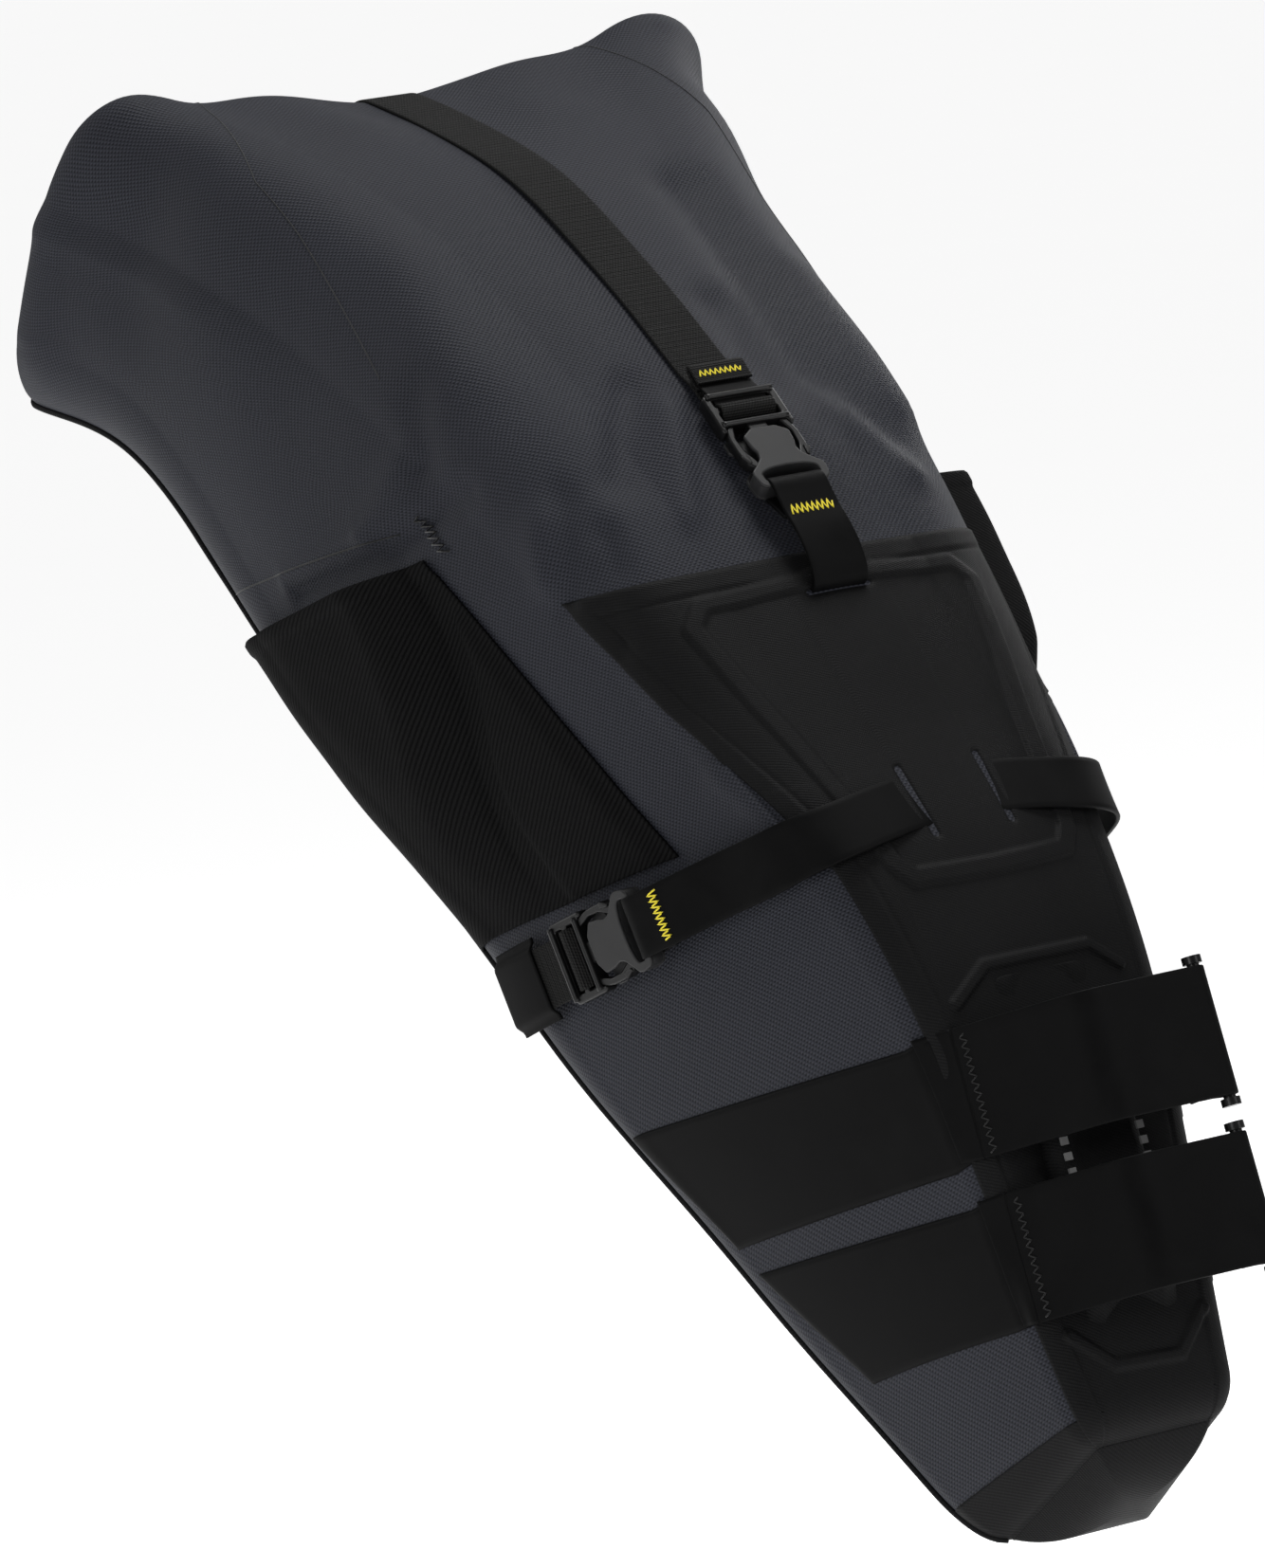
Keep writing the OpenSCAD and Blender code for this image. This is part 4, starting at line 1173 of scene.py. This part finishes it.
def pad_mesh():
    """The grooved pad: its section swept along the seatpost, with closed rounded ends."""
    groove = [(-16.05 * math.cos(a), 16.05 * math.sin(a))
              for a in np.radians(np.linspace(-57, 57, 25))]
    lip = [(-9.4, 14.9), (-10.2, 17.2), (-12.6, 19.4), (-16, 20.6), (-20.4, 20.9)]
    back = [(-20.5, y) for y in np.linspace(20, -20, 20)]
    section = np.array(groove + lip + back + [(f, -y) for f, y in lip[::-1]])
    u = spans((-76.5, 5), (-73, 50), (69, 5), 72.5)
    ends = np.minimum(np.minimum(u + 76.5, 72.5 - u) / 4, 1)
    shrink = 1 - 0.16 * (1 - np.sqrt(1 - (1 - ends) ** 2))
    centre = np.array([-18.5, 0])
    channel = 0.55 * np.exp(-((np.abs(section[:, 1]) - 12.6) / 0.9) ** 2) \
        * (section[:, 0] > -18)
    low = 1 - 0.86 * (ease(u, 36, 60) + 1 - ease(u, -64, -40))
    f = centre[0] + (section[None, :, 0] - centre[0] - channel) * shrink[:, None]
    f = -20.5 + (f + 20.5) * low[:, None]
    y = section[None, :, 1] * shrink[:, None]
    points = by_post(f, y, u[:, None])
    n, m = points.shape[:2]
    faces = [*grid_faces(n, m, True), tuple(range(m))[::-1],
             tuple(range(n * m - m, n * m))]
    cloth = np.stack([y * 1.2, u[:, None] + 0 * y], -1)
    return points, faces, cloth


pad_points, pad_faces, pad_cloth = pad_mesh()
pad = piece("seatpost_cushion", pad_points, pad_faces, COATED, "coated_fabric",
            nodes=["seatpost_pad"], cloth=pad_cloth)

LEVELS = (32, -32)
SEAM_ROOTS = ((-20, -44), (-20, -40))
HOOKS = ((14, 42), (14, 40.5))
TAB_ROOTS = ((-22, 51), (-22, 45))
POST_STRAP_W = 50
HEM = 3.4


def around_post(a, b, r):
    ends = [math.atan2(a[1], a[0]) + math.acos(r / math.hypot(*a)),
            math.atan2(b[1], b[0]) - math.acos(r / math.hypot(*b))]
    return [(r * math.cos(t), r * math.sin(t)) for t in np.linspace(*ends, 16)]


for k, label in enumerate(("upper", "lower")):
    level = LEVELS[k]
    a, b = SEAM_ROOTS[k], HOOKS[k]
    body = f"seatpost_strap_{label}"
    mid = around_post(a, b, 16.8 + STRAP_T / 2)
    flat = [mix(np.array([a[0] + 0.5, a[1] - 0.6]), np.array(mid[0]), u)
            for u in np.linspace(0, 1, 8)[:-1]]
    bar = np.array(b) + [0.9, 2.5]
    end = bar + [HEM, -0.6]
    run_out = [mix(np.array(mid[-1]), end, u) for u in np.linspace(0, 1, 8)[1:]]
    back = unit(np.array(mid[-1]) - end)
    hem = [bar + [HEM * math.cos(t), HEM * math.sin(t)]
           for t in np.radians(np.linspace(15, 195, 11))]
    hem += [end + back * 8 + [-1.9, 0], end + back * 14 + [-1.6, 0]]
    line = np.array([*flat, *mid, *run_out, *hem])
    path = by_post(line[:, 0], line[:, 1], level)
    strap = Strip(path, np.tile(POST_U, (len(path), 1)), POST_STRAP_W, STRAP_T - 0.3)
    strap.make(f"seatpost_strap_cloth_{label}", STRAP, "strap_fabric", body=body,
               nodes=[body], edge=0.6)
    outward = 1 if (strap.at(6, 0, 1) - strap.at(6, 0, 0)) @ POST_F > 0 else -1
    sew(f"seatpost_strap_stitch_{label}",
        [zigzag(strap, 4.2, 23.5, outward * 0.8, depth=2.6, pitch=3.4, radius=0.3,
                lift=outward * 0.1)], BLACK_THREAD, "strap_fabric", body=body)

    # The fabric tab that the hook catches
    root, tip = np.array(TAB_ROOTS[k]), np.array(b) + [-3.4, 5.6]
    tab_line = np.array([mix(root, tip, u) + np.array([1.2, 1.4]) * math.sin(math.pi * u)
                         for u in np.linspace(0, 1, 14)])
    tab_path = by_post(tab_line[:, 0] - 0.2, tab_line[:, 1] + 0.8, level)
    tab_strip = Strip(tab_path, np.tile(POST_U, (14, 1)), POST_STRAP_W - 6, STRAP_T)
    tab_strip.make(f"hook_tab_cloth_{label}", STRAP, "strap_fabric",
                   nodes=[f"hook_tab_{label}"])


def strap_root(k, label):
    """The stretch of strap that leads up from the side patch to the seam by the pad."""
    a, across = np.meshgrid(np.linspace(0, 1, 14), np.linspace(-1, 1, 34), indexing="ij")
    low, high = PATCH_STATIONS[k]
    s = mix(low, high, (across + 1) / 2)
    root = np.array(SEAM_ROOTS[k]) + [0.5, -0.6]
    turn = unit(root - np.array(around_post(SEAM_ROOTS[k], HOOKS[k], 17.7)[0]))
    top = by_post(root[0], root[1], LEVELS[k] + POST_STRAP_W / 2 * across)
    foot = cloth_at(s, -0.318, 1.0)
    lead = unit(on_bag(s, -0.3) - on_bag(s, -0.33))
    w = a[..., None]
    grid = ((1 - w) ** 3 * top + 3 * (1 - w) ** 2 * w * (top + 3.5 * by_post(*turn, 0))
            + 3 * (1 - w) * w * w * (foot + 3.5 * lead) + w ** 3 * foot)
    normal = unit(np.cross(np.gradient(grid, axis=0), np.gradient(grid, axis=1)))
    normal = normal * (1 if normal[7, 17] @ (POST_F - np.array([0, 1, 0])) > 0 else -1)
    slab(f"seatpost_strap_root_{label}", grid + normal * 0.75, grid - normal * 0.75, STRAP,
         "strap_fabric")


PATCH_STATIONS = ((2.12, 2.95), (0.99, 1.86))
PATCH_ENDS = ((1.78, 0.66, 2.62, 0.69), (0.85, 0.62, 1.6, 0.66))
for k, label in enumerate(("upper", "lower")):
    strap_root(k, label)
    (low, high), ends = PATCH_STATIONS[k], PATCH_ENDS[k]
    for side, hand in ((-1, "right"), (1, "left")):
        u, v = np.meshgrid(np.linspace(0, 1, 36), np.linspace(0, 1, 60), indexing="ij")
        s = mix(mix(low, high, u), mix(ends[0], ends[2], u), v)
        t = mix(SEAM - 0.012, mix(ends[1], ends[3], u), v) * side
        rim = np.minimum(np.minimum(u, 1 - u) * 50, np.minimum(v + 1, 1 - v) * 120)
        lift = 0.25 + 1.0 * ease(rim, -0.4, 1.1)
        slab(f"strap_patch_cloth_{label}_{hand}", cloth_at(s, t, lift), cloth_at(s, t, -0.4),
             STRAP, "strap_fabric", nodes=[f"strap_patch_{label}_{hand}"])

# ---------- stretch pockets ----------

POCKET_BULGE = 15


def pocket_surface(u, v, o, side):
    """u runs from the sewn bottom to the open mouth, v from the front to the base."""
    s = mix(mix(4.42, 4.02, v), mix(6.62, 6.5, v), u)
    t = mix(0.425, 0.755, v)
    crease = 0.1 + 0.3 * (1 - u) + 0.06 * np.sin(u * 5) - 0.4 * (side > 0)
    full = (1 - ease(v, 0.55, 1.0) ** 1.4) * ease(v, crease - 0.03, crease + 0.22)
    full = full * (1 + 0.85 * (side > 0) * ease(u, 0, 0.4)) * ease(v, 0, 0.1)
    rise = POCKET_BULGE * 1.06 * full * np.sin(np.minimum(1, u * 1.3 + 0.02) * math.pi / 2)
    fold = -2.6 * np.exp(-((v - crease) / 0.035) ** 2) * ease(u, 0.03, 0.2)
    flat = 2.6 * ease(v, 0, 0.08) * (1 - ease(v, crease - 0.06, crease))
    hem = 1.0 * ease(u, 0.955, 0.972) * (1 - ease(u, 0.992, 1.0))
    p = on_bag(s, t * side)
    creep = ripple(p, 46) * 0.7 * ease(v, 0, 0.2) * (1 - ease(v, 0.85, 1))
    return on_bag(s, t * side, slack(s, t * side, p) * 0.8 + 0.5 + np.maximum(
        rise + fold + flat + creep, 0.1) + hem + o)


for side, label in ((-1, "right"), (1, "left")):
    u, v = np.meshgrid(np.linspace(0, 1, 150), np.linspace(0, 1, 110), indexing="ij")
    slab(f"stretch_pocket_cloth_{label}", pocket_surface(u, v, 1.0, side),
         pocket_surface(u, v, 0.0, side), STRETCH, "stretch_fabric",
         nodes=[f"stretch_pocket_{label}"])
    mark = cloth_at(np.linspace(6.83, 6.62, 12), side * 0.4, 0.5)
    tack = Strip(mark, np.tile(unit(on_bag(6.7, side * 0.42) - on_bag(6.7, side * 0.38)),
                               (12, 1)), 5, 0.2)
    outward = 1 if (tack.at(4, 0, 1) - tack.at(4, 0, 0)) @ np.array([0, side, 0]) > 0 else -1
    line = [tack.at(tack.length * k / 12, 2.6 * (1 if k % 2 else -1), outward * 0.4)
            for k in range(13)]
    sew(f"pocket_bartack_{label}", [tube(np.array(line), 0.45)], BLACK_THREAD,
        "stretch_fabric")
    seam_line = cloth_at(np.linspace(6.78, 6.86, 40), side * np.linspace(0.43, 0.7, 40), 0.1)
    sew(f"pocket_seam_{label}", [tube(seam_line, 0.35)], BLACK_THREAD, "navy_fabric")

# ---------- seams and piping ----------

WELD = [(8.93, 0.176), (8.88, 0.175), (8.3, 0.255), (7.78, 0.29), (7.4, 0.315)]

for side, label in ((-1, "right"), (1, "left")):
    run = spans((0.02, 260), 8.97)
    points, faces = tube(cloth_at(run, side * BASE_SEAM, 0.9), 1.35, 10)
    piece(f"base_piping_cloth_{label}", points, faces, COATED, "coated_fabric",
          nodes=[f"base_piping_{label}"],
          cloth=np.repeat(np.stack([0 * run, run * 70], -1), 10, axis=0))
    weld_s, weld_t = np.array(WELD).T
    along = np.linspace(0, len(WELD) - 1, 160)
    weld = cloth_at(np.interp(along, range(len(WELD)), weld_s),
                    side * np.interp(along, range(len(WELD)), weld_t), 0.1)
    sew(f"side_weld_{label}", [tube(weld, 0.22)], BLACK_THREAD, "navy_fabric")

# ---------- pieces carried over from the frame ----------


def carry(node, finish, edge):
    """Keeps a piece of the frame, with its edges rounded, in the finish given."""
    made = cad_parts[node]
    made.data.materials.clear()
    made.data.materials.append(finish)
    bevel = made.modifiers.new("rounded_edges", "BEVEL")
    bevel.width = edge * MM
    bevel.segments = 2
    bevel.limit_method = "ANGLE"
    bevel.angle_limit = math.radians(35)


carry("strap_hook_upper", GLOSS, 1.2)
carry("strap_hook_lower", GLOSS, 1.2)
carry("grip_strips", GRIP, 0.35)
for node in ("front_stiffener", "base_stiffener", "closure_stiffener"):
    carry(node, SHEET, 0.3)

floor = bpy.data.meshes.new("floor")
floor.from_pydata([(x * FLOOR_HALF, y * FLOOR_HALF, FLOOR_Z)
                   for x, y in ((-1, -1), (1, -1), (1, 1), (-1, 1))], [], [(0, 1, 2, 3)])
pale = Finish("pale_floor", roughness=0.9, specular=0.1)
pale.shader.inputs["Emission Color"].default_value = (1, 1, 1, 1)
pale.shader.inputs["Emission Strength"].default_value = FLOOR_GLOW
floor.materials.append(pale.finish(pale.blend(pale.noise(3), (0.93, 0.93, 0.93),
                                              (0.96, 0.96, 0.96))))
floor_object = bpy.data.objects.new("floor", floor)
bpy.context.scene.collection.objects.link(floor_object)
